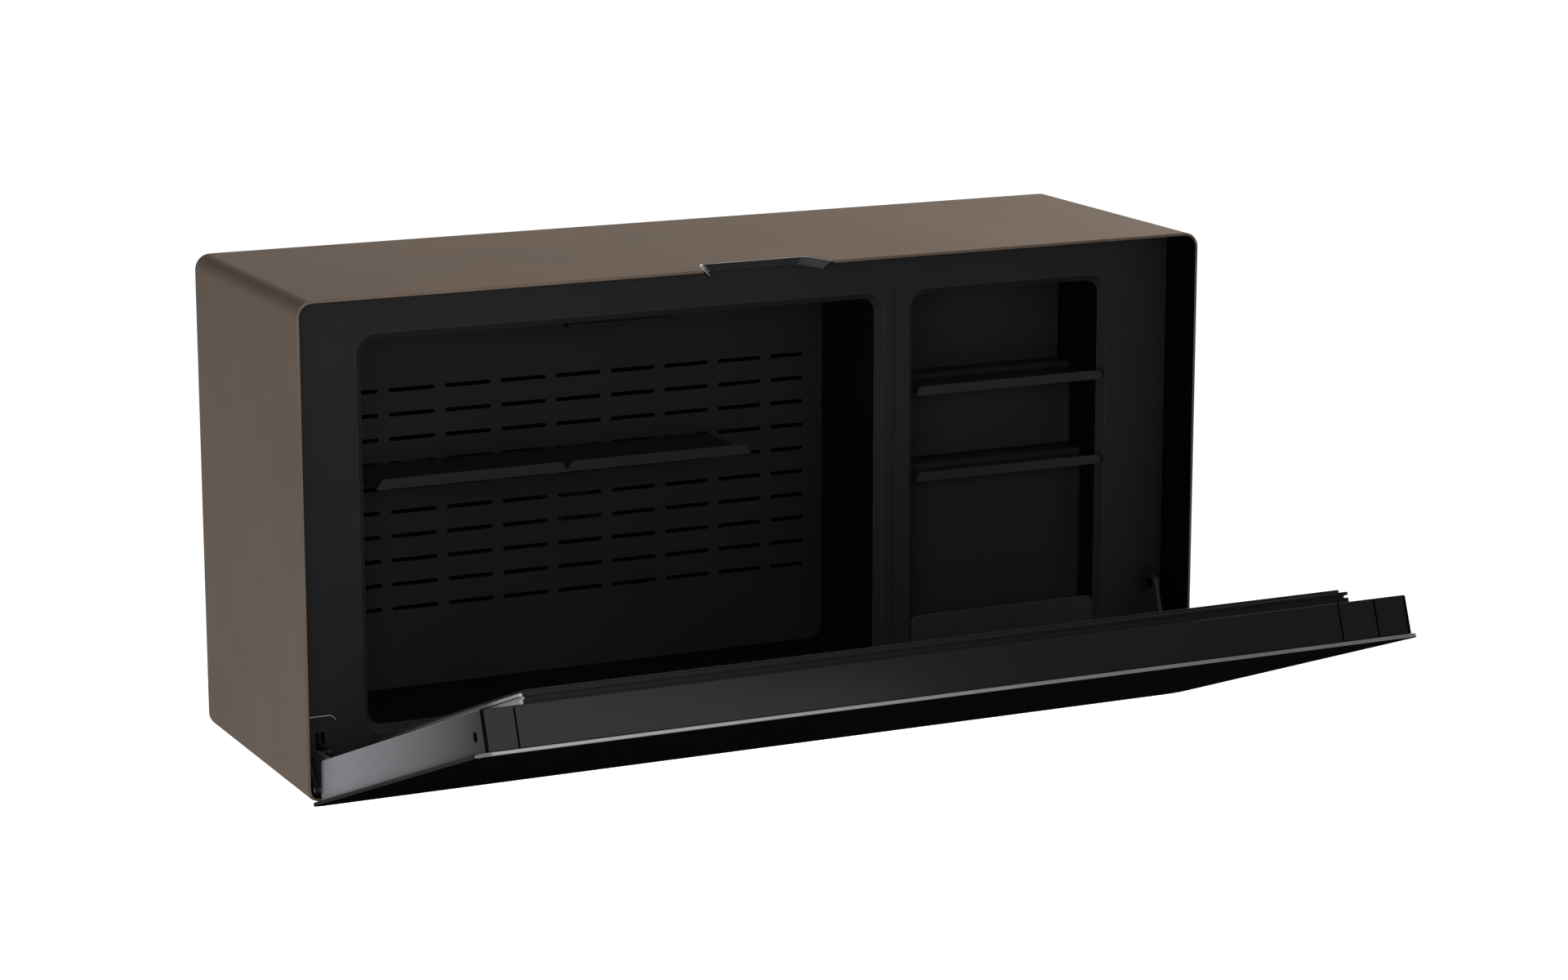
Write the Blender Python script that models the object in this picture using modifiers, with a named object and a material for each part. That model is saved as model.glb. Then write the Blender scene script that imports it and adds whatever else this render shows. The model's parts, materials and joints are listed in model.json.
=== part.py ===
"""Wall-hung two-bay minibar fridge with one full-width drop-down glass door.

Metres, +Z up, +Y towards the wall, +X to the right seen from the room.
The origin is the centre of the casing's back face, on the wall.
"""
from math import atan2, cos, hypot, pi, radians, sin

import bmesh
import bpy
from mathutils import Matrix, Vector

# Clearances
GAP = 0.0003
RUN = 0.0004
LOOSE = 0.0007
SEAM = 0.0002

# Casing: a folded sheet tube, open at the front
WIDTH = 1.000
HEIGHT = 0.500
DEPTH = 0.315
SHEET = 0.003
CORNER = 0.016
LOW_CUT_DEPTH = 0.0100
LOW_CUT_HEIGHT = 0.0044
LOW_CUT_SLANT = 0.0058
LOW_CUT_TOP = 0.0095

# Finger notch in the top sheet, with its black cup
NOTCH_FRONT = 0.146
NOTCH_BACK = 0.122
NOTCH_DEPTH = 0.040
NOTCH_RADIUS = 0.008
CUP_WALL = 0.0018
CUP_DROP = 0.0077
CUP_SET = 0.006
CUP_FLANGE = 0.005
CUP_SHEET = 0.0015
CUP_TAPER = 0.0029

# Fascia and the two bays behind it, heights from the casing's underside
FASCIA_SET = 0.0576
FASCIA_THICK = 0.0085
BEVEL = 0.007
BAY_RADIUS = 0.014
BAY_LOW = 0.0547
BAY_OVER = 0.0544
FRIDGE_SIDE = 0.0838
DRY_SIDE = 0.0805
DRY_WIDE = 0.2215
DIVIDER = 0.0447
GROOVE_SIDE = 0.0196
GROOVE_WIDE = 0.0058
GROOVE_DEEP = 0.0025
GROOVE_OVER = 0.009

# Bay liners and the insulation round the cold one
LINER = 0.002
DRY_BACK = 0.150
STEP_FRONT = 0.101
STEP_HIGH = 0.150
FOAM_LEFT = 0.027
FOAM_RIGHT = 0.0317
FOAM_OVER = 0.032
FOAM_THICK = 0.0347

# Slotted duct panel
DUCT_THICK = 0.003
SLOT_LOW = 0.1393
SLOT_OVER = 0.072
SLOT_SIDE = 0.020
SLOT_PITCH = 0.0254
SLOT_HIGH = 0.0042
SLOT_LONG = 0.050
SLOT_SHORT = 0.038
SLOT_BRIDGE = 0.0114

# Shelves
SHELF_SHEET = 0.002
BOTTLE_ROW = 6
BOTTLE_SIDE = 0.0192
BOTTLE_LONG = 0.409
BOTTLE_FRONT = 0.078
BOTTLE_LIP = 0.0105
BOTTLE_RAKE = 0.0065
BOTTLE_NICK = 0.006
HOOK_WIDE = 0.030
HOOK_UP = 0.0045
DRY_SHELF_FRONT = 0.052
DRY_SHELF_UPPER = 0.3404
DRY_SHELF_LOWER = 0.2485
DRY_LIP = 0.0095
DRY_LIP_OVER = 0.00025
LIP_ROUND = 0.004
LEDGE_WIDE = 0.004
LEDGE_HIGH = 0.002
LEDGE_FRONT = 0.0089
LEDGE_BACK = 0.010
POCKET_SET = 0.0635
POCKET_SHEET = 0.002
POCKET_HIGH = 0.0459
POCKET_ROUND = 0.008

# Hinge covers with their slots
COVER_WIDE = 0.0467
COVER_THICK = 0.0015
COVER_HIGH = 0.073
COVER_ROUND = 0.008
SLOT_OUT = 0.025
SLOT_WIDE = 0.0095
SLOT_TOP = 0.056
WELL_SIDE = 0.0045
WELL_TOP = 0.006

# Door: places across its thickness count inwards from the glass's outer face,
# places along it count from the glass's lower edge
OPEN_ANGLE = radians(69.55)
DOOR_LOW = 0.0053
DOOR_GAP = 0.0021
DOOR_SIDE = 0.0025
GLASS = 0.004
GLASS_CORNER = 0.016
AXIS_IN = 0.0153
AXIS_UP = 0.004
PLATE_SET = 0.0095
PLATE = 0.0025
WALL_HIGH = 0.0425
PLATE_START = 0.011
PLATE_RISE = 0.016
PLATE_FOOT = 0.015
PLATE_HOLE = 0.0028
PLATE_HOLE_FROM_TOP = 0.020
PLATE_HOLE_IN = 0.020
EDGE_FOOT = 0.012
EDGE_JOINT = 0.0006
EDGE_TOP = 0.0046
EDGE_PIECE_LEFT = 0.0444
EDGE_PIECE_INNER = 0.090
EDGE_PIECE_RIGHT = 0.049
CORE_SIDE = 0.067
CORE_START = 0.030
CORE_TOP = 0.0316
CORE_HIGH = 0.0437
PANEL_SIDE = 0.060
PANEL_START = 0.027
PANEL_TOP = 0.0266
PANEL_THICK = 0.0043
PANEL_CORNER = 0.006
RIM_STEP = 0.0024
RIM_SHADOW = 0.003
RIM_HIGH = 0.003
RIM_WIDE = 0.020
SEAL_WIDE = 0.008
SEAL_REST = 0.0004
RAIL_START = 0.012
RAIL = 0.0025
RAIL_HIGH = 0.028
RAIL_FOOT = 0.014

# Door hinge at each lower corner
HINGE_PIN = 0.0025
HINGE_EAR_RADIUS = 0.005
HINGE_EAR = 0.0028
HINGE_EAR_IN = 0.0006
HINGE_HEAD = 0.004
WEB_LOW = 0.014
WEB_HIGH = 0.042
FOOT_LOW = 0.018
ARM = 0.003
HUB = 0.006

# Stay arm on the right
STAY_SIDE = 0.023
STAY_THICK = 0.004
STAY_WIDE = 0.020
STAY_DEPTH = 0.037
STAY_HEIGHT = 0.1145
STAY_LEAN = radians(18.68)
STAY_OVER = 0.0075
STAY_LONG = 0.101
STAY_SLOT_START = 0.0752
STAY_SLOT_END = 0.095
STAY_SLOT = 0.0055
STAY_PIN_IN = 0.0403
STAY_PIN_UP = 0.0179
STAY_PIN = 0.0025
STAY_WASHER = 0.0075
STAY_FOOT_LOW = 0.098
STAY_FOOT_HIGH = 0.131
STAY_FOOT_WIDE = 0.0146
STAY_EAR_RADIUS = 0.008

# Guided link on the left
LINK_SIDE = 0.029
LINK_THICK = 0.004
LINK_HALF = 0.004
LINK_LONG = 0.080
LINK_IN = 0.0518
LINK_UP = 0.0025
LINK_PIN = 0.002
LINK_BOSS = 0.0034
LINK_HEAD = 0.0035
GUIDE = 0.003
GUIDE_SIDE = 0.012
GUIDE_OVER = 0.014
GUIDE_FOOT = 0.020
GUIDE_SWEEP = radians(4)

# Thermoelectric unit in the cold bay's back
COLD_Z = 0.250
FAN_SIZE = 0.080
FAN_DEEP = 0.015
FAN_BORE = 0.0375
ROTOR = 0.0362
HOT_FAN_SIZE = 0.092
HOT_FAN_DEEP = 0.0188
HOT_FAN_BORE = 0.043
HOT_ROTOR = 0.0415
FAN_HUB = 0.013
SPIDER = 0.002
BLADES = 7
BLADE_THICK = 0.0014
BLADE_TILT = radians(36)
SINK_WIDE = 0.100
SINK_BASE = 0.004
COLD_SINK_HIGH = 0.0191
HOT_SINK_WIDE = 0.124
HOT_SINK_BASE = 0.005
HOT_SINK_HIGH = 0.0258
FIN = 0.0016
FINS = 11
HOT_FINS = 15
SPACER = 0.050
MODULE = 0.040
MODULE_THICK = 0.004
REAR_SHEET = 0.003

# Rear panel windows, electrics and hanging plates
VENT_HALF = 0.0460
VENT_SLOTS = 9
VENT_SLOT = 0.005
HANGER_SIDE = 0.197
HANGER_OVER = 0.060
HANGER_SHEET = 0.0025
HANGER_HALF = (0.034, 0.026)
HANGER_PAD = (0.0217, 0.0167)
HANGER_SET = 0.0005
KEY_SLOT = 0.0025
KEY_HOLE = 0.0055
KEY_RISE = 0.007
SUPPLY_Z = 0.150
SUPPLY_SIZE = (0.150, 0.046, 0.080)
BOARD_Z = 0.300
BOARD_SIZE = (0.120, 0.0016, 0.080)
BOARD_POST = 0.010
INLET_SIDE = 0.067
INLET_Z = 0.075
INLET_SIZE = (0.050, 0.022, 0.030)
LAMP_LONG = 0.115
LAMP_FRONT = 0.076
LAMP_DEEP = 0.020
LAMP_BODY = 0.005
LAMP_LENS = 0.003
LAMP_RIM = 0.003

FRONT = -DEPTH
UNDER = -HEIGHT / 2

# Places that follow from the sizes above, across the casing and up
half = WIDTH / 2
inside = half - SHEET
fit = inside - GAP
top_under = HEIGHT - SHEET
BAY_HIGH = HEIGHT - BAY_OVER
FRIDGE_LEFT = FRIDGE_SIDE - inside
DRY_RIGHT = inside - DRY_SIDE
DRY_LEFT = DRY_RIGHT - DRY_WIDE
FRIDGE_RIGHT = DRY_LEFT - DIVIDER
GROOVE_X = FRIDGE_RIGHT + GROOVE_SIDE
bay_middle = (FRIDGE_LEFT + FRIDGE_RIGHT) / 2
dry_middle = (DRY_LEFT + DRY_RIGHT) / 2
COVER_IN = fit - COVER_WIDE
SLOT_IN = inside - SLOT_OUT - SLOT_WIDE
STAY_X = inside - STAY_SIDE
LINK_X = inside - LINK_SIDE
PANEL_HALF = inside - PANEL_SIDE
CORE_HALF = inside - CORE_SIDE
HANGER_X = inside - HANGER_SIDE
HANGER_HIGH = HEIGHT - HANGER_OVER
INLET_X = inside - INLET_SIDE

# Places in the cooling stack, counted from the rear panel forwards
panel_front = DEPTH - REAR_SHEET
hot_fan_far = panel_front - RUN
hot_fan_near = hot_fan_far - HOT_FAN_DEEP
hot_near = hot_fan_near - RUN - HOT_SINK_HIGH
module_far = hot_near - GAP
module_near = module_far - MODULE_THICK
FOAM_BACK = module_near - GAP
liner_back = FOAM_BACK - FOAM_THICK - GAP
FRIDGE_BACK = liner_back - LINER
sink_back = FRIDGE_BACK - GAP
sink_tip = sink_back - COLD_SINK_HIGH
fan_far = sink_tip - RUN
fan_near = fan_far - FAN_DEEP
duct_back = fan_near - RUN
DUCT_FRONT = duct_back - DUCT_THICK

bpy.context.scene.unit_settings.system = "METRIC"
for old in list(bpy.data.objects):
    bpy.data.objects.remove(old)

parts = bpy.data.collections.new("minibar_fridge")
tools = bpy.data.collections.new("minibar_fridge_cutters")
bpy.context.scene.collection.children.link(parts)
bpy.context.scene.collection.children.link(tools)


def deep(d):
    """World Y of a depth behind the casing's front edge."""
    return FRONT + d


def high(h):
    """World Z of a height above the casing's underside."""
    return UNDER + h


def material(name, rgb, rough, metal=0.0, clear=0.0):
    mat = bpy.data.materials.new(name)
    mat.use_nodes = True
    shader = mat.node_tree.nodes["Principled BSDF"]
    shader.inputs["Base Color"].default_value = (*rgb, 1)
    shader.inputs["Roughness"].default_value = rough
    shader.inputs["Metallic"].default_value = metal
    shader.inputs["Transmission Weight"].default_value = clear
    return mat


BROWN = material("brown_coat", (0.060, 0.042, 0.030), 0.55, 0.2)
BLACK = material("black_coat", (0.010, 0.010, 0.011), 0.45, 0.0)
MOULDED = material("black_moulding", (0.010, 0.010, 0.011), 0.5, 0.0)
PLASTIC = material("black_plastic", (0.008, 0.008, 0.009), 0.5)
RUBBER = material("seal_rubber", (0.010, 0.010, 0.010), 0.8)
STEEL = material("zinc_steel", (0.55, 0.55, 0.57), 0.35, 1.0)
ALLOY = material("sink_alloy", (0.62, 0.63, 0.65), 0.4, 1.0)
GLASS_MAT = material("dark_glass", (0.02, 0.02, 0.022), 0.05, 0.0, 0.3)
FOAM = material("foam", (0.75, 0.72, 0.62), 0.9)
CERAMIC = material("ceramic", (0.85, 0.85, 0.82), 0.5)
BOARD = material("circuit_board", (0.02, 0.12, 0.05), 0.5)
LENS = material("lamp_lens", (0.9, 0.9, 0.92), 0.3, 0.0, 0.4)


def rounded(corners, steps=5):
    """Outline through (u, v, radius) corners, each turned by an arc."""
    points = []
    count = len(corners)
    for i, (u, v, r) in enumerate(corners):
        here = Vector((u, v))
        back = (Vector(corners[i - 1][:2]) - here).normalized()
        ahead = (Vector(corners[(i + 1) % count][:2]) - here).normalized()
        if r <= 0:
            points.append((u, v))
            continue
        half = back.angle(ahead) / 2
        centre = here + (back + ahead).normalized() * (r / sin(half))
        reach = r / (sin(half) / cos(half))
        start = here + back * reach - centre
        end = here + ahead * reach - centre
        a0 = atan2(start.y, start.x)
        sweep = atan2(end.y, end.x) - a0
        sweep = (sweep + pi) % (2 * pi) - pi
        for k in range(steps + 1):
            a = a0 + sweep * k / steps
            points.append((centre.x + r * cos(a), centre.y + r * sin(a)))
    return points


def rect(u0, v0, u1, v1, r=0.0, steps=5):
    return rounded([(u0, v0, r), (u1, v0, r), (u1, v1, r), (u0, v1, r)], steps)


def circle(u, v, r, steps=24):
    turn = 2 * pi / steps
    return [(u + r * cos(turn * k), v + r * sin(turn * k)) for k in range(steps)]


def stadium(u, v0, v1, r, steps=10):
    """Upright slot outline between the two end centres."""
    top = [(u + r * cos(pi * k / steps), v1 + r * sin(pi * k / steps))
           for k in range(steps + 1)]
    low = [(u - r * cos(pi * k / steps), v0 - r * sin(pi * k / steps))
           for k in range(steps + 1)]
    return top + low


def hull(circles, steps=24):
    """Convex outline round (u, v, radius) circles: a flat lever's shape."""
    cloud = sorted({p for u, v, r in circles for p in circle(u, v, r, steps)})

    def side(points):
        line = []
        for p in points:
            while len(line) > 1:
                (ax, ay), (bx, by) = line[-2], line[-1]
                turn = (bx - ax) * (p[1] - ay) - (by - ay) * (p[0] - ax)
                if turn > 1e-9:
                    break
                line.pop()
            line.append(p)
        return line[:-1]

    return side(cloud) + side(cloud[::-1])


PLANES = {
    "XZ": Matrix(((1, 0, 0), (0, 0, -1), (0, 1, 0))),
    "YZ": Matrix(((0, 0, 1), (1, 0, 0), (0, 1, 0))),
    "XY": Matrix(((1, 0, 0), (0, 1, 0), (0, 0, 1))),
}


def keep(name, mesh, mat, parent=None, cutter=False):
    """Name the mesh's object, colour it and file it."""
    obj = bpy.data.objects.new(name, mesh)
    (tools if cutter else parts).objects.link(obj)
    if mat is not None:
        mesh.materials.append(mat)
    obj.parent = parent
    if cutter:
        obj.hide_render = True
        obj.display_type = "WIRE"
    return obj


def flat(name, loops, plane, lo, hi, mat, parent=None, cutter=False):
    """Flat outline with holes, extruded from lo to hi across its plane."""
    curve = bpy.data.curves.new(name, "CURVE")
    curve.dimensions = "2D"
    curve.fill_mode = "BOTH"
    curve.extrude = abs(hi - lo) / 2
    for loop in loops:
        spline = curve.splines.new("POLY")
        spline.points.add(len(loop) - 1)
        for point, (u, v) in zip(spline.points, loop):
            point.co = (u, v, 0, 1)
        spline.use_cyclic_u = True
    drawn = bpy.data.objects.new(name + "_outline", curve)
    parts.objects.link(drawn)
    graph = bpy.context.evaluated_depsgraph_get()
    mesh = bpy.data.meshes.new_from_object(drawn.evaluated_get(graph))
    bpy.data.objects.remove(drawn)
    across = {"XZ": (0, 1, 0), "YZ": (1, 0, 0), "XY": (0, 0, 1)}[plane]
    middle = Vector(across) * (lo + hi) / 2
    shape = bmesh.new()
    shape.from_mesh(mesh)
    bmesh.ops.remove_doubles(shape, verts=shape.verts, dist=1e-6)
    bmesh.ops.rotate(shape, matrix=PLANES[plane], verts=shape.verts)
    bmesh.ops.recalc_face_normals(shape, faces=shape.faces)
    shape.to_mesh(mesh)
    shape.free()
    mesh.name = name
    mesh.materials.clear()
    obj = keep(name, mesh, mat, parent, cutter)
    obj.location = middle
    return obj


def box(name, lo, hi, mat, parent=None, cutter=False):
    """Block between two corners, its origin at its middle."""
    size = Vector(hi) - Vector(lo)
    mesh = bpy.data.meshes.new(name)
    shape = bmesh.new()
    bmesh.ops.create_cube(shape, size=1.0)
    bmesh.ops.scale(shape, vec=size, verts=shape.verts)
    shape.to_mesh(mesh)
    shape.free()
    obj = keep(name, mesh, mat, parent, cutter)
    obj.location = (Vector(hi) + Vector(lo)) / 2
    return obj


def loft(name, rings, mat, parent=None, cutter=False, ends=(True, True)):
    """Skin over rings of world points, closed at the chosen ends."""
    mesh = bpy.data.meshes.new(name)
    shape = bmesh.new()
    loops = []
    for ring in rings:
        verts = [shape.verts.new(p) for p in ring]
        loops.append([shape.edges.new((a, b))
                      for a, b in zip(verts, verts[1:] + verts[:1])])
    for a, b in zip(loops, loops[1:]):
        bmesh.ops.bridge_loops(shape, edges=a + b)
    for closed, loop in zip(ends, (loops[0], loops[-1])):
        if closed:
            bmesh.ops.contextual_create(shape, geom=loop)
    bmesh.ops.recalc_face_normals(shape, faces=shape.faces)
    shape.to_mesh(mesh)
    shape.free()
    return keep(name, mesh, mat, parent, cutter)


def turned(name, profile, at, mat, parent=None, cutter=False, steps=24):
    """Pin turned about X: profile of (radius, x) from its high-x end down."""
    mesh = bpy.data.meshes.new(name)
    shape = bmesh.new()
    verts = [shape.verts.new((r, 0, x)) for r, x in profile]
    for a, b in zip(verts, verts[1:]):
        shape.edges.new((a, b))
    shape.to_mesh(mesh)
    shape.free()
    obj = keep(name, mesh, mat, parent, cutter)
    obj.location = at
    obj.rotation_euler = (0, pi / 2, 0)
    screw = obj.modifiers.new("turn", "SCREW")
    screw.angle = 2 * pi
    screw.screw_offset = 0
    screw.steps = steps
    screw.render_steps = steps
    screw.use_merge_vertices = True
    screw.merge_threshold = 0.00001
    mesh.set_sharp_from_angle(angle=radians(40))
    return obj


def pin(x0, x1, r, head_x0, head_x1, head_r):
    """Profile of a pin from x0 to x1 with a head, listed from high x down."""
    if head_x1 > x1:
        return [(0, head_x1), (head_r, head_x1), (head_r, head_x0),
                (r, head_x0), (r, x0), (0, x0)]
    return [(0, x1), (r, x1), (r, head_x1), (head_r, head_x1),
            (head_r, head_x0), (0, head_x0)]


def combine(target, tool, operation):
    bool_mod = target.modifiers.new(operation.lower(), "BOOLEAN")
    bool_mod.operation = operation
    bool_mod.object = tool
    bool_mod.solver = "EXACT"


def cut(target, tool):
    combine(target, tool, "DIFFERENCE")


def join(target, tool):
    combine(target, tool, "UNION")


def smooth(obj, angle=35):
    obj.data.shade_smooth()
    obj.data.set_sharp_from_angle(angle=radians(angle))


def ring_xz(points, d):
    return [(u, deep(d), high(v)) for u, v in points]


# Casing with the lower front cut that the glass swings through
casing = flat("outer_casing",
              [rect(-half, high(0), half, high(HEIGHT), CORNER, 8),
               rect(-inside, high(SHEET), inside, high(top_under), CORNER - SHEET, 8)],
              "XZ", deep(0), deep(DEPTH), BROWN)
low_cut = flat("low_cut",
               [[(deep(-0.001), high(-0.001)), (deep(LOW_CUT_DEPTH), high(-0.001)),
                 (deep(LOW_CUT_DEPTH), high(LOW_CUT_HEIGHT)),
                 (deep(LOW_CUT_SLANT), high(LOW_CUT_HEIGHT)),
                 (deep(0), high(LOW_CUT_TOP)), (deep(-0.001), high(LOW_CUT_TOP))]],
               "YZ", -half - 0.001, half + 0.001, None, cutter=True)
cut(casing, low_cut)


def notch_outline(inset, start):
    """Notch outline drawn in by inset, its open front at depth start."""
    slope = (NOTCH_FRONT - NOTCH_BACK) / 2 / NOTCH_DEPTH
    wide = NOTCH_FRONT / 2 - slope * start - inset
    back = NOTCH_BACK / 2 - inset
    end = deep(NOTCH_DEPTH - inset)
    return [(-wide, deep(start)), (wide, deep(start)), (back, end), (-back, end)]


def notch_path(inset, start):
    a, b, c, d = notch_outline(inset, start)
    r = max(NOTCH_RADIUS - inset, 0.001)
    return rounded([(*a, 0), (*b, 0), (*c, r), (*d, r)])


notch_cut = flat("notch_cut", [notch_path(0, -0.002)], "XY",
                 high(top_under - 0.002), high(HEIGHT + 0.002), None, cutter=True)
cut(casing, notch_cut)
smooth(casing)


def cup_strip(outer, inner, start):
    """U-shaped strip between two insets, open at the front."""
    out_path = notch_path(outer, start)
    in_path = notch_path(inner, start)
    return out_path[1:] + out_path[:1] + in_path[:1] + in_path[1:][::-1]


cup_low = high(HEIGHT - CUP_DROP)
cup = flat("finger_cup", [cup_strip(GAP, GAP + CUP_WALL, CUP_SET)], "XY",
           cup_low, high(HEIGHT - GAP), PLASTIC)
shape = bmesh.new()
shape.from_mesh(cup.data)
lower = [v for v in shape.verts if v.co.z < 0]
cup_slope = 1 - CUP_TAPER / (NOTCH_FRONT / 2)
bmesh.ops.scale(shape, vec=(cup_slope, cup_slope, 1), verts=lower,
                space=Matrix.Translation((0, -deep(CUP_SET), 0)))
shape.to_mesh(cup.data)
shape.free()
cup_flange = flat("cup_flange", [cup_strip(-CUP_FLANGE, GAP + CUP_WALL / 2, CUP_SET)], "XY",
                  high(top_under - GAP - CUP_SHEET), high(top_under - GAP), None,
                  cutter=True)
join(cup, cup_flange)
smooth(cup)

# Fascia: one plate with both bay openings bevelled, a groove and two hinge wells
fascia_low = SHEET + GAP
fascia_high = top_under - GAP
fit_corner = CORNER - SHEET - GAP
fascia_back = FASCIA_SET + FASCIA_THICK
fascia = flat("front_fascia", [rect(-fit, high(fascia_low), fit, high(fascia_high), fit_corner)],
              "XZ", deep(FASCIA_SET), deep(fascia_back), MOULDED)
for bay, left, right in (("fridge", FRIDGE_LEFT, FRIDGE_RIGHT), ("dry", DRY_LEFT, DRY_RIGHT)):
    rings = []
    for grow, d in ((BEVEL + 0.001, FASCIA_SET - 0.001), (0, FASCIA_SET + BEVEL),
                    (0, fascia_back + 0.001)):
        outline = rect(left - grow, BAY_LOW - grow, right + grow, BAY_HIGH + grow,
                       BAY_RADIUS + grow)
        rings.append(ring_xz(outline, d))
    cut(fascia, loft(bay + "_opening", rings, None, cutter=True))
groove = box("fascia_groove",
             (GROOVE_X - GROOVE_WIDE / 2, deep(FASCIA_SET - 0.001),
              high(BAY_LOW - GROOVE_OVER)),
             (GROOVE_X + GROOVE_WIDE / 2, deep(FASCIA_SET + GROOVE_DEEP),
              high(BAY_HIGH + GROOVE_OVER)), None, cutter=True)
cut(fascia, groove)
well_in = SLOT_IN - WELL_SIDE
well_out = SLOT_IN + SLOT_WIDE + WELL_SIDE
well_top = SLOT_TOP + WELL_TOP
for side, s in (("left", -1), ("right", 1)):
    well = box("hinge_well_" + side,
               (min(s * well_in, s * well_out), deep(FASCIA_SET - 0.001), high(0)),
               (max(s * well_in, s * well_out), deep(fascia_back + 0.001), high(well_top)),
               None, cutter=True)
    cut(fascia, well)

# Hinge covers, thin plates on the fascia with a slot open at the floor
cover_back = FASCIA_SET - GAP
cover_front = cover_back - COVER_THICK
for side, s in (("left", -1), ("right", 1)):
    outline = rounded([(s * COVER_IN, high(fascia_low), 0),
                       (s * SLOT_IN, high(fascia_low), 0),
                       (s * SLOT_IN, high(SLOT_TOP), 0.002),
                       (s * (SLOT_IN + SLOT_WIDE), high(SLOT_TOP), 0.002),
                       (s * (SLOT_IN + SLOT_WIDE), high(fascia_low), 0),
                       (s * fit, high(fascia_low), fit_corner),
                       (s * fit, high(COVER_HIGH), 0.001),
                       (s * COVER_IN, high(COVER_HIGH), COVER_ROUND)])
    flat("hinge_cover_" + side, [outline], "XZ", deep(cover_front), deep(cover_back), BLACK)

# Rear panel with a vent field behind the hot fan and windows for the hanging plates
vents = []
vent_pitch = 2 * VENT_HALF / VENT_SLOTS
for k in range(VENT_SLOTS):
    v = high(COLD_Z) - VENT_HALF + vent_pitch * (k + 0.5)
    vents.append(rect(bay_middle - VENT_HALF, v - VENT_SLOT / 2,
                      bay_middle + VENT_HALF, v + VENT_SLOT / 2))
for s in (-1, 1):
    pad_u = HANGER_PAD[0] + GAP
    pad_v = HANGER_PAD[1] + GAP
    vents.append(rect(s * HANGER_X - pad_u, high(HANGER_HIGH) - pad_v,
                      s * HANGER_X + pad_u, high(HANGER_HIGH) + pad_v, 0.003))
inlet_half = (INLET_SIZE[0] / 2 + GAP, INLET_SIZE[2] / 2 + GAP)
vents.append(rect(INLET_X - inlet_half[0], high(INLET_Z) - inlet_half[1],
                  INLET_X + inlet_half[0], high(INLET_Z) + inlet_half[1]))
flat("rear_panel", [rect(-fit, high(fascia_low), fit, high(fascia_high), fit_corner)] + vents,
     "XZ", deep(panel_front), deep(DEPTH), BROWN)
for side, s in (("left", -1), ("right", 1)):
    x = s * HANGER_X
    z = high(HANGER_HIGH)
    slot = [(x - KEY_SLOT, z + KEY_RISE), (x + KEY_SLOT, z + KEY_RISE)]
    low = [(x + KEY_HOLE * cos(a), z - KEY_RISE + KEY_HOLE * sin(a))
           for a in [radians(60 - 300 * k / 18) for k in range(19)]]
    plate_u, plate_v = HANGER_HALF
    pad_u, pad_v = HANGER_PAD
    hanger = flat("hanger_plate_" + side,
                  [rect(x - plate_u, z - plate_v, x + plate_u, z + plate_v, 0.003)],
                  "XZ", deep(panel_front - GAP - HANGER_SHEET), deep(panel_front - GAP), STEEL)
    join(hanger, flat("hanger_pad_" + side,
                      [rect(x - pad_u, z - pad_v, x + pad_u, z + pad_v, 0.0027)], "XZ",
                      deep(panel_front - GAP - HANGER_SHEET / 2), deep(DEPTH - HANGER_SET),
                      None, cutter=True))
    cut(hanger, flat("keyhole_" + side, [slot + low], "XZ",
                     deep(panel_front - GAP - HANGER_SHEET - 0.001), deep(DEPTH + 0.001),
                     None, cutter=True))


def liner(name, left, right, back, mat):
    """Open-fronted bay shell: an open skin given its wall by Solidify."""
    front = fascia_back + GAP
    outline = rect(left, BAY_LOW, right, BAY_HIGH, BAY_RADIUS)
    obj = loft(name, [ring_xz(outline, front), ring_xz(outline, back)], mat,
               ends=(False, True))
    wall = obj.modifiers.new("wall", "SOLIDIFY")
    wall.thickness = LINER
    wall.offset = 1
    wall.use_even_offset = True
    return obj


fridge_liner = liner("fridge_liner", FRIDGE_LEFT, FRIDGE_RIGHT, FRIDGE_BACK, PLASTIC)
port = SPACER / 2 + 0.001
spacer_port = box("spacer_port", (bay_middle - port, deep(FRIDGE_BACK - 0.005), high(COLD_Z) - port),
                  (bay_middle + port, deep(FRIDGE_BACK + 0.010), high(COLD_Z) + port),
                  None, cutter=True)
cut(fridge_liner, spacer_port)

dry_liner = liner("dry_liner", DRY_LEFT, DRY_RIGHT, DRY_BACK, PLASTIC)
for name, shelf_z in (("upper", DRY_SHELF_UPPER), ("lower", DRY_SHELF_LOWER)):
    for side, x0, x1 in (("left", DRY_LEFT - LINER / 2, DRY_LEFT + LEDGE_WIDE),
                         ("right", DRY_RIGHT - LEDGE_WIDE, DRY_RIGHT + LINER / 2)):
        ledge = box("ledge_" + name + "_" + side,
                    (x0, deep(fascia_back + LEDGE_FRONT), high(shelf_z - GAP - LEDGE_HIGH)),
                    (x1, deep(DRY_BACK - LEDGE_BACK), high(shelf_z - GAP)), None,
                    cutter=True)
        join(dry_liner, ledge)

# Stepped cover that makes the dry bay shallower at the bottom
step = rounded([(DRY_LEFT + LOOSE, BAY_LOW + GAP, BAY_RADIUS),
                (DRY_RIGHT - LOOSE, BAY_LOW + GAP, BAY_RADIUS),
                (DRY_RIGHT - LOOSE, STEP_HIGH, 0.004), (DRY_LEFT + LOOSE, STEP_HIGH, 0.004)])
step_cover = loft("dry_step_cover", [ring_xz(step, DRY_BACK - GAP), ring_xz(step, STEP_FRONT)],
                  PLASTIC, ends=(False, True))
step_wall = step_cover.modifiers.new("wall", "SOLIDIFY")
step_wall.thickness = LINER
step_wall.offset = -1
step_wall.use_even_offset = True

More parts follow.
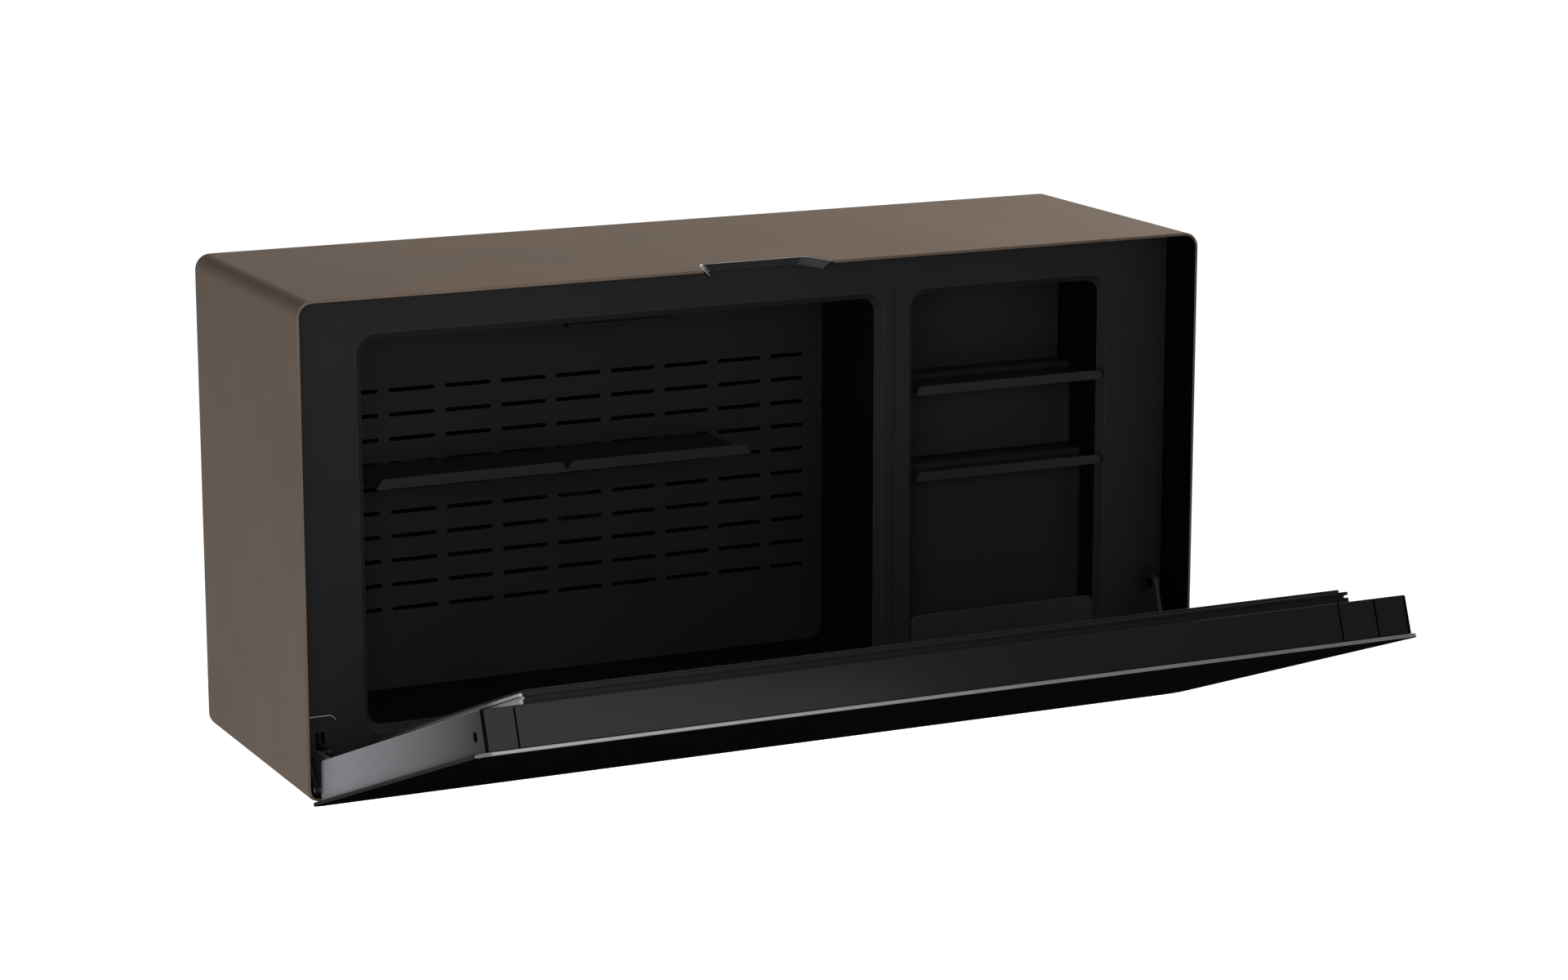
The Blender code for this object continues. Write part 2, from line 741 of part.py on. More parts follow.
# Insulation round and behind the cold bay
foam_front = fascia_back + GAP
foam_out = rect(FRIDGE_LEFT - FOAM_LEFT, high(BAY_LOW - FOAM_OVER),
                FRIDGE_RIGHT + FOAM_RIGHT, high(BAY_HIGH + FOAM_OVER), 0.004, 3)
grow = LINER + GAP
foam_in = rect(FRIDGE_LEFT - grow, high(BAY_LOW - grow), FRIDGE_RIGHT + grow,
               high(BAY_HIGH + grow), BAY_RADIUS + grow)
flat("insulation_ring", [foam_out, foam_in], "XZ", deep(foam_front), deep(liner_back), FOAM)
flat("insulation_back",
     [foam_out, rect(bay_middle - port, high(COLD_Z) - port, bay_middle + port, high(COLD_Z) + port)],
     "XZ", deep(liner_back + GAP), deep(FOAM_BACK), FOAM)

# Slotted duct panel that closes the cold bay's back
slots = []
bay_wide = FRIDGE_RIGHT - FRIDGE_LEFT
pitch_x = SLOT_LONG + SLOT_BRIDGE
ends = 2 * (SLOT_SIDE + SLOT_SHORT + SLOT_BRIDGE)
long_columns = int((bay_wide - ends + SLOT_BRIDGE) / pitch_x)
slot_rows = int((BAY_HIGH - SLOT_OVER - SLOT_LOW) / SLOT_PITCH) + 1
first = bay_middle - (long_columns * SLOT_LONG + (long_columns - 1) * SLOT_BRIDGE) / 2
columns = [(first + k * pitch_x, SLOT_LONG) for k in range(long_columns)]
columns.insert(0, (first - SLOT_BRIDGE - SLOT_SHORT, SLOT_SHORT))
columns.append((columns[-1][0] + SLOT_LONG + SLOT_BRIDGE, SLOT_SHORT))
for row in range(slot_rows):
    v = high(SLOT_LOW + row * SLOT_PITCH)
    for x, long in columns:
        slots.append(rect(x, v - SLOT_HIGH / 2, x + long, v + SLOT_HIGH / 2))
flat("duct_panel",
     [rect(FRIDGE_LEFT + GAP, high(BAY_LOW + GAP), FRIDGE_RIGHT - GAP, high(BAY_HIGH - GAP),
           BAY_RADIUS - GAP)] + slots,
     "XZ", deep(DUCT_FRONT), deep(duct_back), MOULDED)

# Bottle shelf, hooked into one row of duct slots
row_z = SLOT_LOW + BOTTLE_ROW * SLOT_PITCH
BOTTLE_LEFT = FRIDGE_LEFT + BOTTLE_SIDE
BOTTLE_RIGHT = BOTTLE_LEFT + BOTTLE_LONG
shelf_low = row_z - SLOT_HIGH / 2 + 0.0009
shelf_top = shelf_low + SHELF_SHEET
lip_top = shelf_low + BOTTLE_LIP
lip_back = BOTTLE_FRONT + SHELF_SHEET
nick = (BOTTLE_LEFT + BOTTLE_RIGHT) / 2
lip = [(BOTTLE_LEFT, high(shelf_low)), (BOTTLE_RIGHT, high(shelf_low)),
       (BOTTLE_RIGHT, high(shelf_low + 0.002)), (BOTTLE_RIGHT - BOTTLE_RAKE, high(lip_top)),
       (nick + BOTTLE_NICK, high(lip_top)), (nick, high(shelf_top)),
       (nick - BOTTLE_NICK, high(lip_top)), (BOTTLE_LEFT + BOTTLE_RAKE, high(lip_top)),
       (BOTTLE_LEFT, high(shelf_low + 0.002))]
bottle_shelf = flat("bottle_shelf", [lip], "XZ", deep(BOTTLE_FRONT), deep(lip_back), BLACK)
join(bottle_shelf, box("bottle_plate",
                       (BOTTLE_LEFT + SEAM, deep(lip_back - 0.001), high(shelf_low + SEAM)),
                       (BOTTLE_RIGHT - SEAM, deep(DUCT_FRONT - GAP), high(shelf_top)),
                       None, cutter=True))
hook_low = high(shelf_low + 2 * SEAM)
hook_top = high(shelf_top - SEAM)
hook_in = (SLOT_LONG - HOOK_WIDE) / 2
under = [x for x, long in columns
         if long == SLOT_LONG and x > BOTTLE_LEFT and x + hook_in + HOOK_WIDE < BOTTLE_RIGHT]
for k, left in enumerate((under[0], under[len(under) // 2], under[-1])):
    x = left + hook_in
    hook = flat(f"bottle_hook_{k}",
                [[(deep(DUCT_FRONT - 0.004), hook_low), (deep(duct_back + 0.003), hook_low),
                  (deep(duct_back + 0.003), hook_top + HOOK_UP),
                  (deep(duct_back + LOOSE), hook_top + HOOK_UP),
                  (deep(duct_back + LOOSE), hook_top),
                  (deep(DUCT_FRONT - 0.004), hook_top)]],
                "YZ", x, x + HOOK_WIDE, None, cutter=True)
    join(bottle_shelf, hook)

# Dry bay shelves, each resting on the liner's ledges with its lip before the fascia
for name, z in (("upper", DRY_SHELF_UPPER), ("lower", DRY_SHELF_LOWER)):
    w = DRY_WIDE / 2 + DRY_LIP_OVER
    lip = rounded([(dry_middle - w, high(z), 0.001), (dry_middle + w, high(z), 0.001),
                   (dry_middle + w - 0.002, high(z + DRY_LIP), LIP_ROUND),
                   (dry_middle - w + 0.002, high(z + DRY_LIP), LIP_ROUND)])
    shelf = flat("dry_shelf_" + name, [lip], "XZ", deep(DRY_SHELF_FRONT),
                 deep(DRY_SHELF_FRONT + SHELF_SHEET), BLACK)
    plate = box("dry_plate_" + name,
                (DRY_LEFT + RUN, deep(DRY_SHELF_FRONT + 0.001), high(z + SEAM)),
                (DRY_RIGHT - RUN, deep(DRY_BACK - RUN), high(z + SHELF_SHEET)),
                None, cutter=True)
    join(shelf, plate)

# Pocket panel at the foot of the dry bay
flat("pocket_panel",
     [rounded([(DRY_LEFT + LOOSE, high(BAY_LOW + GAP), BAY_RADIUS - LOOSE),
               (DRY_RIGHT - LOOSE, high(BAY_LOW + GAP), BAY_RADIUS - LOOSE),
               (DRY_RIGHT - LOOSE, high(BAY_LOW + POCKET_HIGH), POCKET_ROUND),
               (DRY_LEFT + LOOSE, high(BAY_LOW + POCKET_HIGH), POCKET_ROUND)])],
     "XZ", deep(POCKET_SET), deep(POCKET_SET + POCKET_SHEET), BLACK)

# Lamp under the cold bay's ceiling
lamp_top = BAY_HIGH - GAP
lamp_left = bay_middle - LAMP_LONG / 2
lamp_right = bay_middle + LAMP_LONG / 2
box("lamp_housing", (lamp_left, deep(LAMP_FRONT), high(lamp_top - LAMP_BODY)),
    (lamp_right, deep(LAMP_FRONT + LAMP_DEEP), high(lamp_top)), PLASTIC)
box("lamp_lens", (lamp_left + LAMP_RIM, deep(LAMP_FRONT + LAMP_RIM),
                  high(lamp_top - LAMP_BODY - GAP - LAMP_LENS)),
    (lamp_right - LAMP_RIM, deep(LAMP_FRONT + LAMP_DEEP - LAMP_RIM),
     high(lamp_top - LAMP_BODY - GAP)), LENS)


def comb(x, wide, base_near, base_far, tip, fins, fin):
    """Finned bar seen from above: a base with fins reaching to tip."""
    outline = [(x - wide / 2, base_far), (x - wide / 2, tip)]
    pitch = (wide - fin) / (fins - 1)
    for k in range(fins):
        left = x - wide / 2 + k * pitch
        if k:
            outline += [(left, base_near), (left, tip)]
        outline.append((left + fin, tip))
        if k < fins - 1:
            outline.append((left + fin, base_near))
    outline.append((x + wide / 2, base_far))
    return outline


# Cold side: fan, finned sink with its spacer, thermoelectric module
cold_z = high(COLD_Z)
cold_comb = comb(bay_middle, SINK_WIDE, deep(sink_back - SINK_BASE), deep(sink_back),
                 deep(sink_tip), FINS, FIN)
cold_sink = loft("cold_sink", [[(u, v, cold_z + s * SINK_WIDE / 2) for u, v in cold_comb]
                               for s in (-1, 1)], ALLOY)
join(cold_sink, box("cold_spacer",
                    (bay_middle - SPACER / 2, deep(sink_back - 0.001), cold_z - SPACER / 2),
                    (bay_middle + SPACER / 2, deep(module_near - GAP), cold_z + SPACER / 2),
                    None, cutter=True))
box("peltier_module", (bay_middle - MODULE / 2, deep(module_near), cold_z - MODULE / 2),
    (bay_middle + MODULE / 2, deep(module_far), cold_z + MODULE / 2), CERAMIC)
hot_comb = comb(bay_middle, HOT_SINK_WIDE, deep(hot_near + HOT_SINK_BASE), deep(hot_near),
                deep(hot_fan_near - RUN), HOT_FINS, FIN)
loft("hot_sink", [[(u, v, cold_z + s * HOT_SINK_WIDE / 2) for u, v in hot_comb]
                  for s in (-1, 1)], ALLOY)


def fan(name, near, far, size, bore, sweep):
    """Square fan whose motor plate is held on four arms at its far side."""
    frame = flat(name + "_frame",
                 [rect(bay_middle - size / 2, cold_z - size / 2, bay_middle + size / 2,
                       cold_z + size / 2, 0.004), circle(bay_middle, cold_z, bore, 32)],
                 "XZ", deep(near), deep(far), PLASTIC)
    reach = bore + 0.002
    for k, tilt in enumerate((pi / 4, -pi / 4)):
        bar = box(f"{name}_bar_{k}", (-reach, -SPIDER / 2, -0.002),
                  (reach, SPIDER / 2, 0.002), None, cutter=True)
        bar.location = (bay_middle, deep(far - SPIDER / 2), cold_z)
        bar.rotation_euler = (0, tilt, 0)
        join(frame, bar)
    disc = flat(name + "_disc", [circle(bay_middle, cold_z, FAN_HUB, 24)], "XZ",
                deep(far - SPIDER - 0.0001), deep(far - 0.0001), None, cutter=True)
    join(frame, disc)
    shaft = bpy.data.objects.new(name + "_axis", None)
    parts.objects.link(shaft)
    mid = (near + RUN + far - SPIDER - 2 * RUN) / 2
    shaft.location = (bay_middle, deep(mid), cold_z)
    thick = far - SPIDER - 2 * RUN - near - RUN
    rotor = flat(name + "_rotor", [circle(0, 0, FAN_HUB, 24)], "XZ", -thick / 2, thick / 2,
                 PLASTIC, shaft)
    long = sweep - FAN_HUB + 0.002
    for k in range(BLADES):
        blade = box(f"{name}_blade_{k}", (-long / 2, -BLADE_THICK / 2, -0.008),
                    (long / 2, BLADE_THICK / 2, 0.008), None, shaft, cutter=True)
        turn = Matrix.Rotation(2 * pi * k / BLADES, 4, "Y")
        out = Matrix.Translation((FAN_HUB - 0.002 + long / 2, 0, 0))
        blade.matrix_local = turn @ out @ Matrix.Rotation(BLADE_TILT, 4, "X")
        join(rotor, blade)
    return frame, rotor


fan("cold_fan", fan_near, fan_far, FAN_SIZE, FAN_BORE, ROTOR)
fan("hot_fan", hot_fan_near, hot_fan_far, HOT_FAN_SIZE, HOT_FAN_BORE, HOT_ROTOR)

# Electrics on the rear panel, behind the dry bay
sx, sy, sz = SUPPLY_SIZE
box("power_supply", (dry_middle - sx / 2, deep(panel_front - GAP - sy), high(SUPPLY_Z) - sz / 2),
    (dry_middle + sx / 2, deep(panel_front - GAP), high(SUPPLY_Z) + sz / 2), STEEL)
bx, by, bz = BOARD_SIZE
board_back = panel_front - GAP - BOARD_POST
board = box("control_board",
            (dry_middle - bx / 2, deep(board_back - by), high(BOARD_Z) - bz / 2),
            (dry_middle + bx / 2, deep(board_back), high(BOARD_Z) + bz / 2), BOARD)
for k, (u, v) in enumerate(((-1, -1), (1, -1), (1, 1), (-1, 1))):
    post = box(f"board_post_{k}",
               (dry_middle + u * (bx / 2 - 0.006) - 0.003, deep(board_back - 0.0008),
                high(BOARD_Z) + v * (bz / 2 - 0.006) - 0.003),
               (dry_middle + u * (bx / 2 - 0.006) + 0.003, deep(panel_front - GAP),
                high(BOARD_Z) + v * (bz / 2 - 0.006) + 0.003), None, cutter=True)
    join(board, post)
ix, iy, iz = INLET_SIZE
inlet = box("power_inlet", (INLET_X - ix / 2, deep(DEPTH - iy), high(INLET_Z) - iz / 2),
            (INLET_X + ix / 2, deep(DEPTH - 0.0002), high(INLET_Z) + iz / 2), PLASTIC)
inlet_well = box("inlet_well",
                 (INLET_X - ix / 2 + 0.010, deep(DEPTH - 0.014), high(INLET_Z) - iz / 2 + 0.005),
                 (INLET_X + ix / 2 - 0.010, deep(DEPTH + 0.001), high(INLET_Z) + iz / 2 - 0.005),
                 None, cutter=True)
cut(inlet, inlet_well)

# Door: everything on it hangs from an empty on the hinge axis, turned to open
door = bpy.data.objects.new("door_axis", None)
parts.objects.link(door)
axis_y = deep(AXIS_IN)
axis_z = high(DOOR_LOW + AXIS_UP)
door.location = (0, axis_y, axis_z)
door.rotation_euler = (OPEN_ANGLE, 0, 0)


def into(d):
    """Door-frame Y of a depth behind the glass's outer face."""
    return d - AXIS_IN


def along(s):
    """Door-frame Z of a distance from the glass's lower edge."""
    return s - AXIS_UP


glass_half = inside - DOOR_SIDE
glass_long = top_under - DOOR_GAP - DOOR_LOW
plate_out = glass_half - PLATE_SET
plate_in = plate_out - PLATE
wall_end = glass_long - EDGE_TOP
PANEL_END = glass_long - PANEL_TOP
CORE_END = glass_long - CORE_TOP
split_left = EDGE_PIECE_LEFT - inside
split_inner = inside - EDGE_PIECE_INNER
split_right = inside - EDGE_PIECE_RIGHT
foot_near = GLASS + GAP
glass = flat("door_glass",
             [rect(-glass_half, along(0), glass_half, along(glass_long), GLASS_CORNER, 8)],
             "XZ", into(0), into(GLASS), GLASS_MAT, door)
smooth(glass)

for side, s in (("left", -1), ("right", 1)):
    outline = rounded([(into(foot_near), along(PLATE_START), 0),
                       (into(WALL_HIGH), along(PLATE_START + PLATE_RISE), 0.006),
                       (into(WALL_HIGH), along(wall_end), 0.002),
                       (into(foot_near), along(wall_end), 0)])
    hole = circle(into(PLATE_HOLE_IN), along(wall_end - PLATE_HOLE_FROM_TOP), PLATE_HOLE)
    x0, x1 = sorted((s * plate_in, s * plate_out))
    plate = flat("door_side_plate_" + side, [outline, hole], "YZ", x0, x1, STEEL, door)
    f0, f1 = sorted((s * (plate_out - 0.001), s * (plate_out - PLATE_FOOT)))
    foot = box("side_foot_" + side, (f0, into(foot_near), along(0.030)),
               (f1, into(foot_near + 0.002), along(wall_end - EDGE_FOOT - LOOSE)),
               None, door, cutter=True)
    join(plate, foot)

# Free-edge wall, in four pieces with narrow joints
wall_half = plate_in - GAP
wall_in = wall_end - PLATE
spans = (("door_edge_left", -wall_half, split_left - EDGE_JOINT / 2),
         ("door_edge_main", split_left + EDGE_JOINT / 2, split_inner - EDGE_JOINT / 2),
         ("door_edge_inner", split_inner + EDGE_JOINT / 2, split_right - EDGE_JOINT / 2),
         ("door_edge_right", split_right + EDGE_JOINT / 2, wall_half))
edge_section = [(into(foot_near), along(wall_end)),
                (into(foot_near), along(wall_end - EDGE_FOOT)),
                (into(foot_near + 0.002), along(wall_end - EDGE_FOOT)),
                (into(foot_near + 0.002), along(wall_in)),
                (into(WALL_HIGH), along(wall_in)),
                (into(WALL_HIGH), along(wall_end))]
for name, x0, x1 in spans:
    edge = flat(name, [edge_section], "YZ", x0, x1, BLACK, door)

# Lower rail behind the glass
rail_section = [(into(foot_near), along(RAIL_START)),
                (into(foot_near + RAIL_HIGH), along(RAIL_START)),
                (into(foot_near + RAIL_HIGH), along(RAIL_START + RAIL)),
                (into(foot_near + RAIL), along(RAIL_START + RAIL)),
                (into(foot_near + RAIL), along(RAIL_START + RAIL_FOOT)),
                (into(foot_near), along(RAIL_START + RAIL_FOOT))]
flat("door_lower_rail", [rail_section], "YZ", -CORE_HALF, CORE_HALF, BLACK, door)

# Insulated core, inner panel, rim and seal
panel_near = CORE_HIGH + GAP
panel_far = panel_near + PANEL_THICK
rim_low = panel_far + GAP
rim_mid = rim_low + RIM_STEP
rim_far = rim_mid + RIM_HIGH
box("door_core", (-CORE_HALF, into(foot_near), along(CORE_START)),
    (CORE_HALF, into(CORE_HIGH), along(CORE_END)), FOAM, door)
flat("door_inner_panel",
     [rect(-PANEL_HALF, along(PANEL_START), PANEL_HALF, along(PANEL_END), PANEL_CORNER)],
     "XZ", into(panel_near), into(panel_far), MOULDED, door)


def rim_loops(inset, wide):
    """Outer and inner outline of a band round the inner panel."""
    return [rect(-PANEL_HALF + inset, along(PANEL_START + inset),
                 PANEL_HALF - inset, along(PANEL_END - inset), PANEL_CORNER),
            rect(-PANEL_HALF + inset + wide, along(PANEL_START + inset + wide),
                 PANEL_HALF - inset - wide, along(PANEL_END - inset - wide), PANEL_CORNER)]


rim = flat("door_inner_rim", rim_loops(0, RIM_WIDE), "XZ", into(rim_mid), into(rim_far),
           MOULDED, door)
rim_base = flat("rim_base", rim_loops(RIM_SHADOW, RIM_WIDE - 2 * RIM_SHADOW), "XZ",
                into(rim_low), into(rim_mid + 0.001), None, door, cutter=True)
join(rim, rim_base)
seal_inset = (RIM_WIDE - SEAL_WIDE) / 2
flat("door_seal", rim_loops(seal_inset, SEAL_WIDE), "XZ", into(rim_far + GAP),
     into(FASCIA_SET - SEAL_REST), RUBBER, door)

# Hinge arms on the side plates, each with a hub on the hinge axis
arm_out = plate_in - GAP
arm_in = arm_out - ARM
stay_y = into(STAY_PIN_IN)
stay_z = along(STAY_PIN_UP)
link_y = into(LINK_IN)
link_z = along(LINK_UP)
arm_far = (into(0.034), along(0.056), HUB)
arm_near = (into(0.016), along(0.050), HUB)
for side, s in (("left", -1), ("right", 1)):
    if s > 0:
        corners = [(0, 0, HUB), (stay_y, stay_z, HUB), arm_near, arm_far]
        hole = circle(stay_y, stay_z, STAY_PIN + GAP)
    else:
        corners = [(0, 0, HUB), (link_y, link_z, LINK_BOSS), arm_near, arm_far]
        hole = circle(link_y, link_z, LINK_PIN + GAP)
    x0, x1 = sorted((s * arm_in, s * arm_out))
    arm = flat("door_hinge_arm_" + side, [hull(corners), circle(0, 0, HINGE_PIN + GAP), hole],
               "YZ", x0, x1, STEEL, door)

# Fixed hinge brackets on the casing's side walls, and their pins
ear_in = plate_out + HINGE_EAR_IN
ear_out = ear_in + HINGE_EAR
hang_far = FASCIA_SET - COVER_THICK - 0.006
for side, s in (("left", -1), ("right", 1)):
    x0, x1 = sorted((s * ear_in, s * ear_out))
    outline = hull([(axis_y, axis_z, HINGE_EAR_RADIUS),
                    (deep(hang_far - 0.005), high(0.016), HINGE_EAR_RADIUS),
                    (deep(hang_far - 0.005), high(0.040), HINGE_EAR_RADIUS)])
    bracket = flat("hinge_bracket_" + side,
                   [outline, circle(axis_y, axis_z, HINGE_PIN + GAP)],
                   "YZ", x0, x1, STEEL)
    w0, w1 = sorted((s * (ear_in + 0.001), s * fit))
    web = box("hinge_web_" + side, (w0, deep(hang_far - 0.0028), high(WEB_LOW)),
              (w1, deep(hang_far), high(WEB_HIGH)), None, cutter=True)
    join(bracket, web)
    f0, f1 = sorted((s * (fit - 0.0025), s * fit))
    foot = box("hinge_foot_" + side, (f0, deep(hang_far - 0.022), high(FOOT_LOW)),
               (f1, deep(hang_far - 0.001), high(WEB_HIGH)), None, cutter=True)
    join(bracket, foot)
    profile = pin(arm_in - 0.001, ear_out + 0.0003, HINGE_PIN,
                  ear_out + GAP, ear_out + 0.0016, HINGE_HEAD)
    if s < 0:
        profile = [(r, -x) for r, x in reversed(profile)]
    turned("hinge_pin_" + side, profile, (0, axis_y, axis_z), STEEL)

# Stay arm: hangs from a bracket on the fascia and rides on the door's pin
stay_half = STAY_THICK / 2
stay_side = STAY_X + stay_half + RUN
stay_at = (0, deep(STAY_DEPTH), high(STAY_HEIGHT))
ear_thick = 0.003
bracket_far = FASCIA_SET - GAP
stay_bracket = flat("stay_bracket",
                    [hull([(deep(STAY_DEPTH), high(STAY_HEIGHT), STAY_EAR_RADIUS),
                           (deep(bracket_far - 0.004), high(STAY_FOOT_LOW + 0.006), 0.004),
                           (deep(bracket_far - 0.004), high(STAY_FOOT_HIGH - 0.006), 0.004)]),
                     circle(deep(STAY_DEPTH), high(STAY_HEIGHT), 0.0033)],
                    "YZ", stay_side, stay_side + ear_thick, STEEL)
join(stay_bracket, box("stay_foot",
                       (stay_side + 0.0002, deep(bracket_far - 0.0022), high(STAY_FOOT_LOW)),
                       (stay_side + ear_thick + STAY_FOOT_WIDE, deep(bracket_far),
                        high(STAY_FOOT_HIGH)), None, cutter=True))
rivet_top = stay_side + ear_thick
turned("stay_pivot_pin",
       [(0, rivet_top + 0.0016), (0.0045, rivet_top + 0.0016), (0.0045, rivet_top + GAP),
        (0.003, rivet_top + GAP), (0.003, STAY_X - stay_half - GAP),
        (0.0055, STAY_X - stay_half - GAP), (0.0055, STAY_X - stay_half - 0.0016),
        (0, STAY_X - stay_half - 0.0016)], stay_at, STEEL)
stay_axis = bpy.data.objects.new("stay_axis", None)
parts.objects.link(stay_axis)
stay_axis.location = stay_at
stay_axis.rotation_euler = (-STAY_LEAN, 0, 0)
w = STAY_WIDE / 2
stay_outline = rounded([(-w, -STAY_LONG, 0.004), (w, -STAY_LONG, 0.004),
                        (w, STAY_OVER, 0.0075), (-w, STAY_OVER, 0.0075)])
stay_arm = flat("stay_arm",
                [stay_outline, circle(0, 0, 0.0033),
                 stadium(0, -STAY_SLOT_END + STAY_SLOT, -STAY_SLOT_START - STAY_SLOT, STAY_SLOT)],
                "YZ", STAY_X - stay_half, STAY_X + stay_half, BLACK, stay_axis)
turned("stay_guide_pin",
       [(0, arm_out - 0.0003), (STAY_PIN, arm_out - 0.0003),
        (STAY_PIN, STAY_X - stay_half - GAP), (STAY_WASHER, STAY_X - stay_half - GAP),
        (STAY_WASHER, STAY_X - stay_half - 0.0015), (0, STAY_X - stay_half - 0.0015)],
       (0, stay_y, stay_z), STEEL, door)

# Guided link: pinned to the door's left arm, its rear pin in a fixed arc slot
link_axis = bpy.data.objects.new("link_axis", None)
parts.objects.link(link_axis)
link_axis.parent = door
link_axis.location = (0, link_y, link_z)
link_axis.rotation_euler = (-OPEN_ANGLE, 0, 0)
x0 = -LINK_X - LINK_THICK / 2
x1 = -LINK_X + LINK_THICK / 2
flat("guide_link",
     [hull([(0, 0, LINK_HALF), (LINK_LONG, 0, LINK_HALF)]), circle(0, 0, LINK_PIN + GAP),
      circle(LINK_LONG, 0, LINK_PIN + GAP)],
     "YZ", x0, x1, STEEL, link_axis)
turned("link_front_pin",
       [(0, x1 + 0.0015), (LINK_HEAD, x1 + 0.0015), (LINK_HEAD, x1 + GAP),
        (LINK_PIN, x1 + GAP), (LINK_PIN, -arm_out + 0.0003), (0, -arm_out + 0.0003)],
       (0, link_y, link_z), STEEL, door)
guide_x0 = x1 + 0.0006
guide_x1 = guide_x0 + GUIDE
turned("link_rear_pin",
       [(0, guide_x1 + 0.0015), (LINK_HEAD, guide_x1 + 0.0015), (LINK_HEAD, guide_x1 + GAP),
        (LINK_PIN, guide_x1 + GAP), (LINK_PIN, x0 - GAP), (LINK_HEAD, x0 - GAP),
        (LINK_HEAD, x0 - 0.0015), (0, x0 - 0.0015)],
       (0, LINK_LONG, 0), STEEL, link_axis)
swing = hypot(link_y, link_z)
start = atan2(link_z, link_y)
arc_y = axis_y + LINK_LONG
arc_slot = []
track = LINK_PIN + RUN
steps = 20
a0 = start - GUIDE_SWEEP
a1 = start + OPEN_ANGLE + GUIDE_SWEEP
for k in range(steps + 1):
    a = a0 + (a1 - a0) * k / steps
    arc_slot.append((arc_y + (swing + track) * cos(a), axis_z + (swing + track) * sin(a)))
for k in range(steps + 1):
    a = a1 - (a1 - a0) * k / steps
    arc_slot.append((arc_y + (swing - track) * cos(a), axis_z + (swing - track) * sin(a)))
guide_near = deep(fascia_back + GAP)
guide_far = arc_y + swing + GUIDE_SIDE
guide_top = axis_z + swing + GUIDE_OVER
link_guide = flat("link_guide",
                  [rect(guide_near, high(SHEET + GAP), guide_far, guide_top, 0.0), arc_slot],
                  "YZ", guide_x0, guide_x1, STEEL)
join(link_guide, box("guide_foot", (guide_x1 - 0.001, guide_near, high(well_top + 0.004)),
                     (guide_x1 + GUIDE_FOOT, guide_near + 0.002, guide_top - 0.002),
                     None, cutter=True))
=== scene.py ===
# %% [markdown]
# A wall-hung minibar fridge with one drop-down glass door, dressed for its picture.
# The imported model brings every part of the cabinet, door and linkage as a plain solid
# in metres. This file adds what the solids leave out: broken edges, rounded slots,
# screws, and finishes with grain, sheen and small colour changes. Pieces that need a new
# shape are built from a copy of their solid, so that they stay exactly where it was.

# %% Load the frame
import json
import math

import bmesh
import bpy
from mathutils import Matrix, Vector


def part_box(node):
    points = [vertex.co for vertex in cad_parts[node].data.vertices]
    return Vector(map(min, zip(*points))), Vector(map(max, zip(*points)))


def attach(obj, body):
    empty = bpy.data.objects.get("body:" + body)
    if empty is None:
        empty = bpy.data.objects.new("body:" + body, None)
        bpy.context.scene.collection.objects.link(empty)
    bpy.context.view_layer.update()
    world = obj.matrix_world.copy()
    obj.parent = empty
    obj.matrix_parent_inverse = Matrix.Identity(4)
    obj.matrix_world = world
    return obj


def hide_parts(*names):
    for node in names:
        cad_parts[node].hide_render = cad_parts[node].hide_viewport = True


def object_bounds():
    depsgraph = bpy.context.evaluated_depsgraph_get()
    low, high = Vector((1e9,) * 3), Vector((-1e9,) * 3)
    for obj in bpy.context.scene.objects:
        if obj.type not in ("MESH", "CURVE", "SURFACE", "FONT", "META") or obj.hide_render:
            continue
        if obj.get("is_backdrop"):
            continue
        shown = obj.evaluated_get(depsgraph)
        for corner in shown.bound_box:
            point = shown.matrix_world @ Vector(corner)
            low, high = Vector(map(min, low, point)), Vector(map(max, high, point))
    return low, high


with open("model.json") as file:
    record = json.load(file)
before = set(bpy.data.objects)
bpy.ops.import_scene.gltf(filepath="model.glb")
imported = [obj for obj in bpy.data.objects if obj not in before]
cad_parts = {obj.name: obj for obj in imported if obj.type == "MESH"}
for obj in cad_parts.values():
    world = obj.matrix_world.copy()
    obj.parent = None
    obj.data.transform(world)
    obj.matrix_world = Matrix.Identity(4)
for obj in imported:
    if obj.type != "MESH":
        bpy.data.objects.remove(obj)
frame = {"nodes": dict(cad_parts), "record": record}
cad_low, cad_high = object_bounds()
nodes = frame["nodes"]
print("nodes", len(nodes), "box", [round(v, 4) for v in (*cad_low, *cad_high)])

# %% [markdown]
# The camera stands to the left of the fridge and a little above it. A long lens keeps
# the casing's edges nearly parallel. Its place was worked out once from the casing's
# straight edges, so the numbers are written down here instead of aimed by eye. The lens
# isn't shifted, which keeps the fridge in the middle of every other view too.

# %% Camera
lens = bpy.data.cameras.new("camera")
lens.sensor_width = 36
lens.lens = 94.414
camera = bpy.data.objects.new("camera", lens)
bpy.context.scene.collection.objects.link(camera)
camera.location = (-1.7491, -3.9993, 0.9220)
camera.rotation_euler = (math.radians(90 - 12.485), 0, math.radians(-25.595))
lens.clip_end = 60
bpy.context.scene.camera = camera
bpy.context.scene.view_settings.view_transform = "Standard"
print("camera", tuple(round(v, 3) for v in camera.location), "lens", lens.lens)


# %% [markdown]
# Four soft panels light the fridge: one low on the left, one high on the right, a small
# one close in front of the left half, and one far in front. The left and the high panel
# stand more than a right angle apart, so the rounded corner between the casing's side
# and top faces neither and shows as a darker band. The high panel is slightly warmer
# than the left one. The close panel is kept out of reflections, so that it doesn't show
# as a square in the shut door's glass. The far front panel is tilted, and its slanting
# edge is what the glossy door edge mirrors. A picture of a studio could light the fridge
# as well, but lamps need no file, and each one can be placed for the surface it serves.

